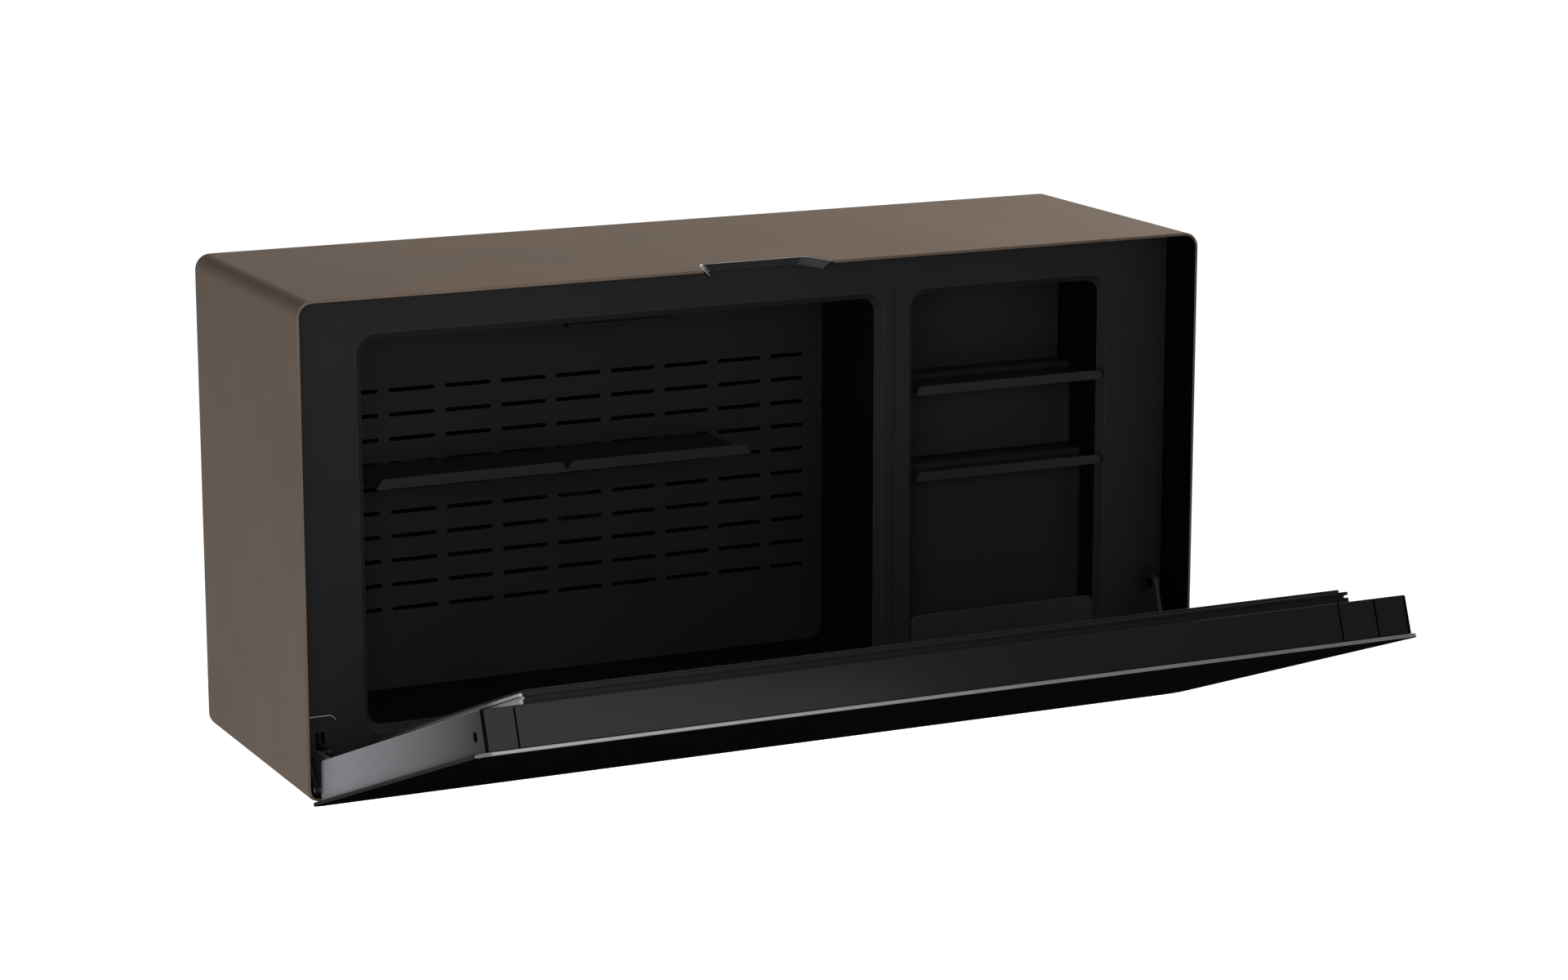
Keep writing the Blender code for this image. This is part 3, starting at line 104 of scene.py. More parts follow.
# %% Lights
def softbox(name, at, aim, size, energy, roll=0.0, tint=(1, 1, 1)):
    lamp = bpy.data.lights.new(name, "AREA")
    lamp.color = tint
    lamp.shape = "RECTANGLE"
    lamp.size, lamp.size_y = size
    lamp.energy = energy
    obj = bpy.data.objects.new(name, lamp)
    bpy.context.scene.collection.objects.link(obj)
    facing = (Vector(at) - Vector(aim)).to_track_quat("Z", "Y").to_matrix()
    turned = facing @ Matrix.Rotation(math.radians(roll), 3, "Z")
    obj.location = at
    obj.rotation_euler = turned.to_euler()
    return obj


softbox("left_panel", (-2.0, -0.2, -0.70), (-0.5, -0.15, 0), (1.2, 0.8), 12.5,
        tint=(0.92, 0.98, 1.06))
softbox("top_panel", (2.6, 1.0, 2.0), (0, -0.15, 0.25), (2.2, 2.2), 126,
        tint=(1.0, 0.93, 0.86))
close = softbox("key_panel", (-0.65, -1.25, 0.15), (-0.50, -0.3, 0), (0.7, 0.7), 7)
close.visible_glossy = False
softbox("front_panel", (0.42, -3.2, 0.93), (0, -0.3, 0), (1.5, 0.6), 9, roll=-21)
print("lamps", len(bpy.data.lights))


# %% [markdown]
# The floor and the air behind are plain white. Only rays that come from the camera, a
# mirror-like surface or glass see the full white, so the background doesn't flood the
# fridge with light, and the floor still shows a soft shadow. A brighter lamp on the
# floor would also make it white, but it would spill onto the dark finishes.

# %% White background
def seen_rays(tree):
    """A value of 1 for camera, glossy and transmission rays, and 0 for the others."""
    path = tree.nodes.new("ShaderNodeLightPath")
    first = tree.nodes.new("ShaderNodeMath")
    first.operation = "MAXIMUM"
    second = tree.nodes.new("ShaderNodeMath")
    second.operation = "MAXIMUM"
    tree.links.new(path.outputs["Is Camera Ray"], first.inputs[0])
    tree.links.new(path.outputs["Is Glossy Ray"], first.inputs[1])
    tree.links.new(first.outputs[0], second.inputs[0])
    tree.links.new(path.outputs["Is Transmission Ray"], second.inputs[1])
    return second.outputs[0]


world = bpy.data.worlds.new("studio")
bpy.context.scene.world = world
world.use_nodes = True
sky = world.node_tree
sky.nodes.clear()
dim = sky.nodes.new("ShaderNodeBackground")
dim.inputs["Color"].default_value = (0.94, 0.97, 1.0, 1)
dim.inputs["Strength"].default_value = 0.16
white = sky.nodes.new("ShaderNodeBackground")
white.inputs["Color"].default_value = (1, 1, 1, 1)
white.inputs["Strength"].default_value = 1.0
choose = sky.nodes.new("ShaderNodeMixShader")
out = sky.nodes.new("ShaderNodeOutputWorld")
sky.links.new(seen_rays(sky), choose.inputs["Fac"])
sky.links.new(dim.outputs[0], choose.inputs[1])
sky.links.new(white.outputs[0], choose.inputs[2])
sky.links.new(choose.outputs[0], out.inputs["Surface"])
print("background white, its light on the fridge", dim.inputs["Strength"].default_value)

# %% [markdown]
# New pieces and the floor are all made in the same way: a bmesh is shaped by operators,
# written to a mesh with its finishes, and linked into the scene at the origin. The floor
# lies well below the fridge, which hangs on a wall.

# %% Floor
def object_from(shape, name, *mats):
    """Turn a bmesh into an object at the origin, with its finishes in order."""
    mesh = bpy.data.meshes.new(name)
    shape.to_mesh(mesh)
    shape.free()
    for mat in mats:
        mesh.materials.append(mat)
    piece = bpy.data.objects.new(name, mesh)
    bpy.context.scene.collection.objects.link(piece)
    return piece


FLOOR_DROP, FLOOR_HALF = 0.9, 12
pale = bpy.data.materials.new("pale_floor")
pale.use_nodes = True
tree = pale.node_tree
body = tree.nodes["Principled BSDF"]
body.inputs["Base Color"].default_value = (0.92, 0.92, 0.92, 1)
body.inputs["Roughness"].default_value = 0.9
glow = tree.nodes.new("ShaderNodeEmission")
glow.inputs["Strength"].default_value = 0.86
add = tree.nodes.new("ShaderNodeAddShader")
pick = tree.nodes.new("ShaderNodeMixShader")
tree.links.new(seen_rays(tree), pick.inputs["Fac"])
tree.links.new(body.outputs[0], pick.inputs[1])
tree.links.new(body.outputs[0], add.inputs[0])
tree.links.new(glow.outputs[0], add.inputs[1])
tree.links.new(add.outputs[0], pick.inputs[2])
tree.links.new(pick.outputs[0], tree.nodes["Material Output"].inputs["Surface"])
sheet = bmesh.new()
bmesh.ops.create_grid(sheet, x_segments=1, y_segments=1, size=FLOOR_HALF)
bmesh.ops.translate(sheet, vec=(0, 0, cad_low.z - FLOOR_DROP), verts=sheet.verts)
object_from(sheet, "floor", pale)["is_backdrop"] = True
print("floor at", round(cad_low.z - FLOOR_DROP, 3))

# %% [markdown]
# Dark glass seen at a low angle mirrors whatever lies beneath it, and over a white
# floor it would look white. In a studio, a black card goes under it, outside the
# picture. This card shows in reflections alone: it casts no shadow and dims no light. A
# darker glass would not help, because the reflection lies on top of its colour.

# %% Black card for the glass
CARD_HALF, CARD_X, CARD_Y, CARD_DROP = (1.35, 1.4, 1), 0.70, 0.30, 0.22
black = bpy.data.materials.new("black_card")
black.use_nodes = True
body = black.node_tree.nodes["Principled BSDF"]
body.inputs["Base Color"].default_value = (0.003, 0.003, 0.003, 1)
body.inputs["Specular IOR Level"].default_value = 0.0
sheet = bmesh.new()
bmesh.ops.create_grid(sheet, x_segments=1, y_segments=1, size=1)
bmesh.ops.scale(sheet, vec=CARD_HALF, verts=sheet.verts)
bmesh.ops.translate(sheet, vec=(CARD_X, CARD_Y, cad_low.z - CARD_DROP), verts=sheet.verts)
card = object_from(sheet, "black_card", black)
card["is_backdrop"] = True
card.visible_camera = False
card.visible_diffuse = False
card.visible_shadow = False
card.visible_transmission = False
card.visible_volume_scatter = False
print("card", [round(v, 2) for v in card.dimensions])

# %% [markdown]
# Every finish has the same four layers, at its own scale. A broad cloud shifts the
# colour a little, a fine grain speckles it, the same grain makes the gloss uneven, and
# a bump gives the light something to catch on. Pictures of real surfaces could show the
# same, but noise has no seams and needs no unwrapping. Object coordinates keep the
# pattern fixed to the part when it moves. Three small helpers make the usual nodes.

# %% Noise, ranges and mixes
def colour(rgb):
    return (*rgb, 1)


def noise(tree, place, scale, detail):
    """Noise between 0 and 1, read at a place."""
    node = tree.nodes.new("ShaderNodeTexNoise")
    node.inputs["Scale"].default_value = scale
    node.inputs["Detail"].default_value = detail
    tree.links.new(place, node.inputs["Vector"])
    return node.outputs["Fac"]


def spread(tree, value, *limits):
    """Map a value from one range to another: from low, from high, to low, to high."""
    node = tree.nodes.new("ShaderNodeMapRange")
    for socket, limit in zip(("From Min", "From Max", "To Min", "To Max"), limits):
        node.inputs[socket].default_value = limit
    tree.links.new(value, node.inputs["Value"])
    return node.outputs["Result"]


def mixed(tree, factor, first, second, how="MIX"):
    """Mix two colours. The factor and the colours may be sockets or plain values."""
    node = tree.nodes.new("ShaderNodeMix")
    node.data_type = "RGBA"
    node.blend_type = how
    ends = (node.inputs["Factor"], node.inputs[6], node.inputs[7])
    for socket, value in zip(ends, (factor, first, second)):
        if isinstance(value, bpy.types.NodeSocket):
            tree.links.new(value, socket)
        else:
            socket.default_value = value
    return node.outputs[2]


# %% [markdown]
# Two extras are used by some finishes. Edges turn paler where the piece's "edge" attribute is 1,
# broken up by the grain: as wear on most parts, and as a painted highlight on the hinge covers,
# the side plates and the hinge arms. A painted falloff dims the colour along the part's depth, as
# painted shade. The numbers that are the same all over a surface go straight onto the shader's
# sockets.

# %% A finish from four layers
def finish(name, dark, light, rough, grain, cloud=6.0, speck=0.35, bump=0.1, depth=0.0002,
           metal=0.0, stretch=(1, 1, 1), gloss=0.5, wear_and_glint=None, painted_falloff=None):
    """Principled material: dark to light by cloud and grain, rough is (low, high)."""
    mat = bpy.data.materials.new(name)
    mat.use_nodes = True
    tree = mat.node_tree
    new, link = tree.nodes.new, tree.links.new
    shader = tree.nodes["Principled BSDF"]
    shader.inputs["Metallic"].default_value = metal
    shader.inputs["Specular IOR Level"].default_value = gloss
    place = new("ShaderNodeTexCoord").outputs["Object"]
    turn = new("ShaderNodeMapping")
    turn.inputs["Scale"].default_value = stretch
    link(place, turn.inputs["Vector"])
    fine = noise(tree, turn.outputs["Vector"], grain, 2)
    blend = new("ShaderNodeMix")
    blend.inputs["Factor"].default_value = speck
    link(noise(tree, place, cloud, 3), blend.inputs["A"])
    link(fine, blend.inputs["B"])
    pattern = blend.outputs["Result"]
    ramp = new("ShaderNodeValToRGB")
    for stop, position, rgb in zip(ramp.color_ramp.elements, (0.32, 0.68), (dark, light)):
        stop.position = position
        stop.color = colour(rgb)
    link(pattern, ramp.inputs["Fac"])
    tint = ramp.outputs["Color"]
    # Painted shade: the colour dims along the part's depth.
    if painted_falloff:
        start, end, least = painted_falloff
        split = new("ShaderNodeSeparateXYZ")
        link(place, split.inputs[0])
        dimmer = spread(tree, split.outputs["Y"], start, end, 1.0, least)
        tint = mixed(tree, 1.0, tint, dimmer, how="MULTIPLY")
    # Pale edges: wear on most parts, a painted highlight on the hinge covers, side plates and
    # hinge arms.
    if wear_and_glint:
        edge = new("ShaderNodeAttribute")
        edge.attribute_name = "edge"
        wear_and_glint_mask = new("ShaderNodeMath")
        wear_and_glint_mask.operation = "MULTIPLY"
        link(edge.outputs["Fac"], wear_and_glint_mask.inputs[0])
        link(fine, wear_and_glint_mask.inputs[1])
        tint = mixed(tree, wear_and_glint_mask.outputs[0], tint, colour(wear_and_glint))
    link(tint, shader.inputs["Base Color"])
    link(spread(tree, pattern, 0.3, 0.7, *rough), shader.inputs["Roughness"])
    if bump:
        relief = new("ShaderNodeBump")
        relief.inputs["Strength"].default_value = bump
        relief.inputs["Distance"].default_value = depth
        link(fine, relief.inputs["Height"])
        link(relief.outputs["Normal"], shader.inputs["Normal"])
    return mat


# %% [markdown]
# The colours below are how each part looks in plain daylight, except the painted light: the pale
# edges of the hinge covers and the cup's rim are painted highlights, and the dry bay's back and
# the cup's sides are lighter copies of their black, as painted light. The cabinet's coat gets a
# fine orange peel, and moulded plastic and coated steel a matte spark grain. The blacks keep a
# very low specular level, because the white room would turn them grey.

# %% Cabinet finishes
brown = finish("brown_powder_coat", (0.116, 0.087, 0.066), (0.180, 0.136, 0.104), (0.52, 0.64),
               520, speck=0.62, bump=0.25, depth=0.0003, gloss=0.03, wear_and_glint=(0.15, 0.075, 0.05))
inside_dark = finish("casing_inside_dark", (0.0010, 0.0010, 0.0010), (0.0022, 0.0020, 0.0020),
                     (0.60, 0.72), 1500, speck=0.5, bump=0.15, gloss=0.04)
fascia_black = finish("fascia_satin_black", (0.0165, 0.0165, 0.0170), (0.0210, 0.0210, 0.0215),
                      (0.40, 0.50), 1800, speck=0.4, bump=0.08, gloss=0.05,
                      wear_and_glint=(0.05, 0.05, 0.05))
liner_black = finish("liner_matte_black", (0.0018, 0.0018, 0.0020), (0.0034, 0.0034, 0.0036),
                     (0.50, 0.62), 1500, speck=0.4, bump=0.10, gloss=0.05,
                     wear_and_glint=(0.01, 0.01, 0.01))
duct_black = finish("duct_matte_black", (0.0105, 0.0105, 0.0108), (0.0150, 0.0150, 0.0155),
                    (0.50, 0.60), 1500, speck=0.4, bump=0.10, gloss=0.06,
                    wear_and_glint=(0.02, 0.02, 0.02))
coat_black = finish("coated_steel_black", (0.012, 0.012, 0.0125), (0.018, 0.018, 0.0185),
                    (0.34, 0.44), 1600, speck=0.45, bump=0.10, gloss=0.10,
                    wear_and_glint=(0.05, 0.05, 0.05))
pocket_black = finish("pocket_panel_black", (0.024, 0.024, 0.025), (0.032, 0.032, 0.033),
                      (0.36, 0.46), 1400, speck=0.4, bump=0.08, gloss=0.08,
                      wear_and_glint=(0.09, 0.09, 0.09))
# Painted highlight: the pale edge colour stands for light caught on the covers' top edges.
cover_black_painted_highlight = finish("hinge_cover_painted_highlight", (0.015, 0.015, 0.0155), (0.020, 0.020, 0.0205),
                     (0.36, 0.46), 1400, speck=0.4, bump=0.08, gloss=0.06,
                     wear_and_glint=(0.80, 0.80, 0.80))
# Painted light: a lighter copy of the liner black, for the back that faces the light.
back_black_painted_lit = finish("dry_bay_back_painted_lit", (0.0150, 0.0150, 0.0155), (0.0195, 0.0195, 0.0200),
                    (0.48, 0.58), 1400, speck=0.4, bump=0.08, gloss=0.05,
                    wear_and_glint=(0.03, 0.03, 0.03))
# Painted highlight along the finger cup's rim.
rim_painted_highlight = finish("cup_rim_painted_highlight", (0.30, 0.275, 0.25), (0.40, 0.37, 0.34), (0.35, 0.45), 500,
                  speck=0.4, bump=0.05, gloss=0.2)
cup_black = finish("finger_cup_black", (0.015, 0.015, 0.0155), (0.019, 0.019, 0.0195),
                   (0.36, 0.44), 1200, speck=0.4, bump=0.06, gloss=0.06)
# Painted light: a lighter copy of the cup black, for its lit sides.
cup_painted_lit = finish("finger_cup_painted_lit", (0.040, 0.040, 0.041), (0.052, 0.052, 0.053), (0.36, 0.44),
                  1200, speck=0.4, bump=0.06, gloss=0.10)
lens_smoke = finish("lamp_lens_smoked", (0.004, 0.004, 0.0045), (0.007, 0.007, 0.0075),
                    (0.30, 0.40), 300, speck=0.3, bump=0.02, gloss=0.06)
# Dark joints, and painted shade on the cup's front edges and in the side plates' holes.
joint_and_shade_black = finish("joint_shadow_black", (0.0008, 0.0008, 0.0008), (0.0016, 0.0016, 0.0016),
                     (0.70, 0.80), 900, speck=0.4, bump=0.0, gloss=0.02)
print("finishes so far", len(bpy.data.materials))

# %% [markdown]
# The door's free edge is smooth enough to mirror the front panel. Its side plates are grey,
# dimmed towards the free end by painted shade, with painted highlights on their broken edges. Its
# glass is nearly as smooth as a mirror, and the inner panel's left-facing ends take a painted
# highlight.

# %% Door finishes
edge_black = finish("door_edge_black", (0.0055, 0.0055, 0.0060), (0.0075, 0.0075, 0.0080),
                    (0.12, 0.16), 1400, speck=0.4, bump=0.02, gloss=0.08,
                    wear_and_glint=(0.02, 0.02, 0.02))
panel_black = finish("door_inner_black", (0.0065, 0.0065, 0.0068), (0.0090, 0.0090, 0.0093),
                     (0.40, 0.50), 1400, speck=0.4, bump=0.06, gloss=0.06,
                     wear_and_glint=(0.03, 0.03, 0.03))
stay_black = finish("stay_arm_black", (0.026, 0.026, 0.027), (0.034, 0.034, 0.035), (0.34, 0.44),
                    1600, speck=0.45, bump=0.10, gloss=0.08, wear_and_glint=(0.10, 0.10, 0.10))
# The hinge arms' pale broken edges are painted highlights.
arm_grey = finish("hinge_arm_grey", (0.085, 0.086, 0.090), (0.125, 0.126, 0.130), (0.30, 0.42),
                  500, speck=0.5, bump=0.06, metal=0.5, gloss=0.2, wear_and_glint=(0.70, 0.70, 0.71))
# Painted shade dims the plate towards the free end, and its broken edges are painted pale as
# highlights.
plate_grey_painted_light = finish("side_plate_grey_painted_light", (0.255, 0.243, 0.255), (0.355, 0.341, 0.357), (0.40, 0.52),
                    480, speck=0.6, bump=0.12, metal=0.2, gloss=0.03, stretch=(1, 0.6, 1),
                    wear_and_glint=(0.55, 0.55, 0.56), painted_falloff=(-0.28, -0.74, 0.03))
glass_dark = finish("door_glass_dark", (0.0022, 0.0022, 0.0024), (0.0036, 0.0036, 0.0038),
                    (0.030, 0.050), 60, cloud=3, speck=0.3, bump=0.0, gloss=0.45)
glass_back = finish("enamelled_glass_back", (0.0022, 0.0022, 0.0024), (0.0040, 0.0040, 0.0043),
                    (0.45, 0.55), 700, speck=0.4, bump=0.03, gloss=0.03)
glass_edge = finish("polished_glass_edge", (0.110, 0.112, 0.114), (0.135, 0.138, 0.140),
                    (0.20, 0.28), 300, speck=0.4, bump=0.02, metal=0.85, gloss=0.5)
# Painted highlight for the left-facing ends, dimmed by painted shade further back.
end_painted_highlight = finish("inner_end_painted_highlight", (0.36, 0.36, 0.375), (0.44, 0.44, 0.455), (0.35, 0.45), 500,
                   speck=0.4, bump=0.05, gloss=0.2, painted_falloff=(-0.665, -0.635, 0.03))
print("finishes so far", len(bpy.data.materials))

# %% [markdown]
# Plated steel and extruded fins have long faint streaks. They come from the same grain,
# stretched by scaling its coordinates down along one direction. Foam is rough and deeply
# dimpled, and the other parts inside are plain.

# %% Metals, foam and the rest
zinc = finish("zinc_plated_steel", (0.42, 0.43, 0.45), (0.60, 0.61, 0.63), (0.22, 0.40), 260,
              speck=0.5, bump=0.05, metal=1.0, stretch=(1, 1, 0.2), wear_and_glint=(0.8, 0.8, 0.8))
dark_zinc = finish("black_zinc_steel", (0.010, 0.010, 0.011), (0.018, 0.018, 0.019), (0.30, 0.42),
                   260, speck=0.5, bump=0.05, gloss=0.12, stretch=(1, 1, 0.2),
                   wear_and_glint=(0.08, 0.08, 0.08))
alloy = finish("extruded_aluminium", (0.55, 0.56, 0.58), (0.68, 0.69, 0.70), (0.30, 0.44), 700,
               speck=0.6, bump=0.08, metal=1.0, stretch=(1, 1, 0.05))
dark_alloy = finish("black_anodised_fins", (0.006, 0.006, 0.007), (0.011, 0.011, 0.012),
                    (0.40, 0.52), 700, speck=0.6, bump=0.08, gloss=0.1, stretch=(1, 1, 0.05))
rubber = finish("seal_rubber", (0.008, 0.008, 0.008), (0.014, 0.014, 0.014), (0.68, 0.82), 900,
                speck=0.5, bump=0.12, gloss=0.1)
foam_black = finish("black_foam", (0.010, 0.010, 0.010), (0.016, 0.016, 0.016), (0.80, 0.92), 400,
                    speck=0.6, bump=0.35, depth=0.0006, gloss=0.04)
foam = finish("cream_foam", (0.52, 0.46, 0.33), (0.66, 0.60, 0.46), (0.85, 0.95), 400,
              speck=0.6, bump=0.35, depth=0.0006, gloss=0.2)
ceramic = finish("white_ceramic", (0.70, 0.70, 0.67), (0.80, 0.80, 0.77), (0.35, 0.5), 600,
                 bump=0.05)
board_green = finish("board_green", (0.010, 0.075, 0.030), (0.018, 0.110, 0.045), (0.28, 0.36),
                     500, speck=0.3, bump=0.04)
print("finishes", len(bpy.data.materials))

# %% [markdown]
# The plain parts need only a finish and broken edges. The first table gives each one's
# finish, its material slot and the width of its broken edges, where 0 leaves the solid
# as it is. The second names the small and hidden parts that only change their finish.

# %% Which part takes which finish
FINISH_OF = {
    "front_fascia": (fascia_black, "black_moulding", 0.0004),
    "fridge_liner": (liner_black, "black_plastic", 0),
    "bottle_shelf": (coat_black, "black_coat", 0.0003),
    "dry_shelf_upper": (coat_black, "black_coat", 0.0003),
    "dry_shelf_lower": (coat_black, "black_coat", 0.0003),
    "pocket_panel": (pocket_black, "black_coat", 0.0003),
    "lamp_housing": (liner_black, "black_plastic", 0.0004),
    "lamp_lens": (lens_smoke, "lamp_lens", 0.0006),
    "door_lower_rail": (edge_black, "black_coat", 0.0003),
    "door_core": (foam_black, "foam", 0),
    "door_seal": (rubber, "seal_rubber", 0.0007),
    "door_hinge_arm_left": (arm_grey, "zinc_steel", 0.0003),
    "door_hinge_arm_right": (arm_grey, "zinc_steel", 0.0003),
    "hinge_bracket_left": (dark_zinc, "zinc_steel", 0.0003),
    "hinge_bracket_right": (dark_zinc, "zinc_steel", 0.0003),
    "stay_bracket": (fascia_black, "zinc_steel", 0.0003),
    "stay_arm": (stay_black, "black_coat", 0.0004),
    "guide_link": (dark_zinc, "zinc_steel", 0.0003),
    "link_guide": (dark_zinc, "zinc_steel", 0.0003),
    "hanger_plate_left": (zinc, "zinc_steel", 0.0003),
    "hanger_plate_right": (zinc, "zinc_steel", 0.0003),
    "power_supply": (zinc, "zinc_steel", 0.0008),
    "power_inlet": (liner_black, "black_plastic", 0.0004),
}
AS_IT_IS = {
    "hinge_pin_left": zinc, "hinge_pin_right": zinc, "stay_pivot_pin": joint_and_shade_black,
    "stay_guide_pin": dark_zinc, "link_front_pin": dark_zinc, "link_rear_pin": dark_zinc,
    "cold_sink": dark_alloy, "hot_sink": alloy, "peltier_module": ceramic,
    "insulation_ring": foam, "insulation_back": foam, "control_board": board_green,
    "cold_fan_frame": liner_black, "cold_fan_rotor": liner_black,
    "hot_fan_frame": liner_black, "hot_fan_rotor": liner_black,
}
print("listed", len(FINISH_OF) + len(AS_IT_IS), "of", len(nodes))

# %% [markdown]
# Sheet metal and mouldings never have a knife edge. A copy of the solid has its doubles merged
# and its flat faces joined again, and then the bevel operator breaks every edge that turns by
# more than 30 degrees. A Bevel modifier could do it live, but the operator also says which faces
# are new. These are marked in an attribute, so that a finish can show a little wear there, or a
# painted highlight on the hinge covers, the side plates and the hinge arms.

# %% Broken edges
DOUBLES, FLAT = 0.00001, math.radians(0.6)


def body_of(node):
    for name, members in frame["record"]["behaviour"]["bodies"].items():
        if node in members:
            return name
    return None


def merged(node):
    """A bmesh copy of a node, its doubles merged and its flat faces joined."""
    shape = bmesh.new()
    shape.from_mesh(nodes[node].data)
    bmesh.ops.remove_doubles(shape, verts=shape.verts, dist=DOUBLES)
    bmesh.ops.dissolve_limit(shape, angle_limit=FLAT, verts=shape.verts, edges=shape.edges)
    return shape


def break_edges(shape, width, turn=30, segments=2):
    """Bevel every edge that turns by more than turn degrees, and mark the new faces."""
    mark = shape.faces.layers.float.get("edge") or shape.faces.layers.float.new("edge")
    sharp = [e for e in shape.edges
             if len(e.link_faces) == 2 and e.calc_face_angle() > math.radians(turn)]
    made = bmesh.ops.bevel(shape, geom=sharp, offset=width, segments=segments, profile=0.5,
                           affect="EDGES", clamp_overlap=True, material=-1)
    for face in made["faces"]:
        face[mark] = 1.0
    return made["faces"]


def stand_in(node, shape, mats, smooth=28):
    """Turn a shape into the piece that is shown for a node."""
    piece = object_from(shape, node + "_finished", *mats)
    piece.data.shade_smooth()
    piece.data.set_sharp_from_angle(angle=math.radians(smooth))
    even = piece.modifiers.new("flat_faces_stay_flat", "WEIGHTED_NORMAL")
    even.keep_sharp = True
    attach(piece, body_of(node))
    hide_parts(node)


def paint(node, mat):
    data = nodes[node].data
    data.materials.clear()
    data.materials.append(mat)


print("helpers ready")

# %% [markdown]
# Both tables are now carried out. A part with a width gets a stand-in with broken edges,
# and every other part keeps its solid and only takes its finish.

# %% Plain parts
for node, (mat, slot, width) in FINISH_OF.items():
    if width:
        shape = merged(node)
        break_edges(shape, width)
        stand_in(node, shape, [mat])
    else:
        paint(node, mat)
for node, mat in AS_IT_IS.items():
    paint(node, mat)
print("dressed", len(FINISH_OF) + len(AS_IT_IS), "of", len(nodes))

# %% [markdown]
# The casing is coated outside and left dark inside, where the liners hide most of it.
# A face looks inwards when its normal points back to the middle of the casing, and those
# faces take the second finish. A whole sheet's inner face gives about -1, its cut edges
# give 0, and its rounded corners keep the coat. Two shells could carry the two finishes,
# but one sheet keeps its cut edges closed.

# %% Casing in two finishes
shape = merged("outer_casing")
break_edges(shape, 0.0005)
low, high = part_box("outer_casing")
centre, half = (low + high) / 2, (high - low) / 2
for face in shape.faces:
    at = face.calc_center_median() - centre
    inward = face.normal.x * at.x / half.x + face.normal.z * at.z / half.z
    face.material_index = 1 if inward < -0.3 else 0
print("inside faces", sum(f.material_index for f in shape.faces))
stand_in("outer_casing", shape, [brown, inside_dark])

# %% [markdown]
# The finger cup is one thin sheet folded round the notch in the casing's top. Its sides lean
# inwards, and their front edges curve back, clear of the shut door. An open line with two rounded
# corners is the rim. It is extruded downwards in small steps, each step is pulled in a little,
# and solidify gives the sheet its thickness. The rim's top is painted pale as a highlight, the
# inner faces of the leaning sides are painted paler than the back as painted light, and the cut
# front edges are painted black as painted shade. A box with a cut through it would be quicker,
# but its walls would have no even thickness.

# %% Finger cup
NOTCH = [(-0.0726, -0.3140), (-0.0606, -0.2754), (0.0606, -0.2754), (0.0726, -0.3140)]
CUP_CORNER, CUP_SHEET, CUP_STEPS = 0.0075, 0.0015, 8
CUP_DROP, CUP_LEAN, CUP_BACK, CUP_SWEEP = 0.0080, 0.0105, 0.0020, 0.0055
RIM_DROP, EDGE_REACH = 0.0003, 0.0020
rim_high = cad_high.z - RIM_DROP
front = NOTCH[0][1]
cup = bmesh.new()
line = [cup.verts.new((x, y, rim_high)) for x, y in NOTCH]
for a, b in zip(line, line[1:]):
    cup.edges.new((a, b))
bmesh.ops.bevel(cup, geom=line[1:3], offset=CUP_CORNER, segments=5, profile=0.5,
                affect="VERTICES", material=-1)
wide, deep_in = NOTCH[3][0], NOTCH[1][1] - front
level = list(cup.edges)
for step in range(1, CUP_STEPS + 1):
    t = step / CUP_STEPS
    made = bmesh.ops.extrude_edge_only(cup, edges=level)["geom"]
    level = [g for g in made if isinstance(g, bmesh.types.BMEdge)]
    for vert in (g for g in made if isinstance(g, bmesh.types.BMVert)):
        to_back = (vert.co.y - front) / deep_in
        vert.co.z = rim_high - CUP_DROP * t
        vert.co.x -= math.copysign(CUP_LEAN / CUP_STEPS, vert.co.x) * abs(vert.co.x) / wide
        sweep = math.sin(math.pi * t / 2) - math.sin(math.pi * (t - 1 / CUP_STEPS) / 2)
        vert.co.y -= CUP_BACK / CUP_STEPS * to_back
        vert.co.y += CUP_SWEEP * sweep * max(0, 1 - 3 * to_back)
bmesh.ops.recalc_face_normals(cup, faces=cup.faces)
bmesh.ops.solidify(cup, geom=cup.faces, thickness=CUP_SHEET)
bmesh.ops.recalc_face_normals(cup, faces=cup.faces)
# Painted light: a pale highlight on the rim's top, lighter inner faces on the sides, and black
# shade on the front edges.
for face in cup.faces:
    at = face.calc_center_median()
    if at.z > rim_high - CUP_DROP / CUP_STEPS:
        face.material_index = 1
    elif face.normal.y < -0.3 and at.y < front + CUP_SWEEP + EDGE_REACH:
        face.material_index = 3
    elif face.normal.x * math.copysign(1, at.x) < -0.3:
        face.material_index = 2
print("cup faces", len(cup.faces))
cup_mats = [cup_black, rim_painted_highlight, cup_painted_lit, joint_and_shade_black]
stand_in("finger_cup", cup, cup_mats, smooth=40)

# %% [markdown]
# The hinge covers are thin black plates. Their upper edge catches the light, so only the broken
# edges that look upwards, near the plate's top, are marked, and the finish paints them pale as a
# highlight. A light stripe laid on the plate would show the same line, but it would be one more
# thin piece.

# %% Hinge covers
COVER_TOP = -0.186
for node in ("hinge_cover_left", "hinge_cover_right"):
    shape = merged(node)
    made = break_edges(shape, 0.0006)
    mark = shape.faces.layers.float["edge"]
    for face in made:
        upper = face.normal.z > 0.15 and face.calc_center_median().z > COVER_TOP
        face[mark] = 1.0 if upper else 0.0
    print(node, "worn faces", sum(f[mark] > 0 for f in made))
    stand_in(node, shape, [cover_black_painted_highlight])

# %% [markdown]
# The duct panel is punched with rows of slots that have round ends. In the solid the
# slots are plain rectangles. The bevel operator rounds their short corner edges, which
# are the edges that run straight through the sheet, away from its rim. Cutting round
# slots afresh would also work, but this keeps each slot where the solid has it.

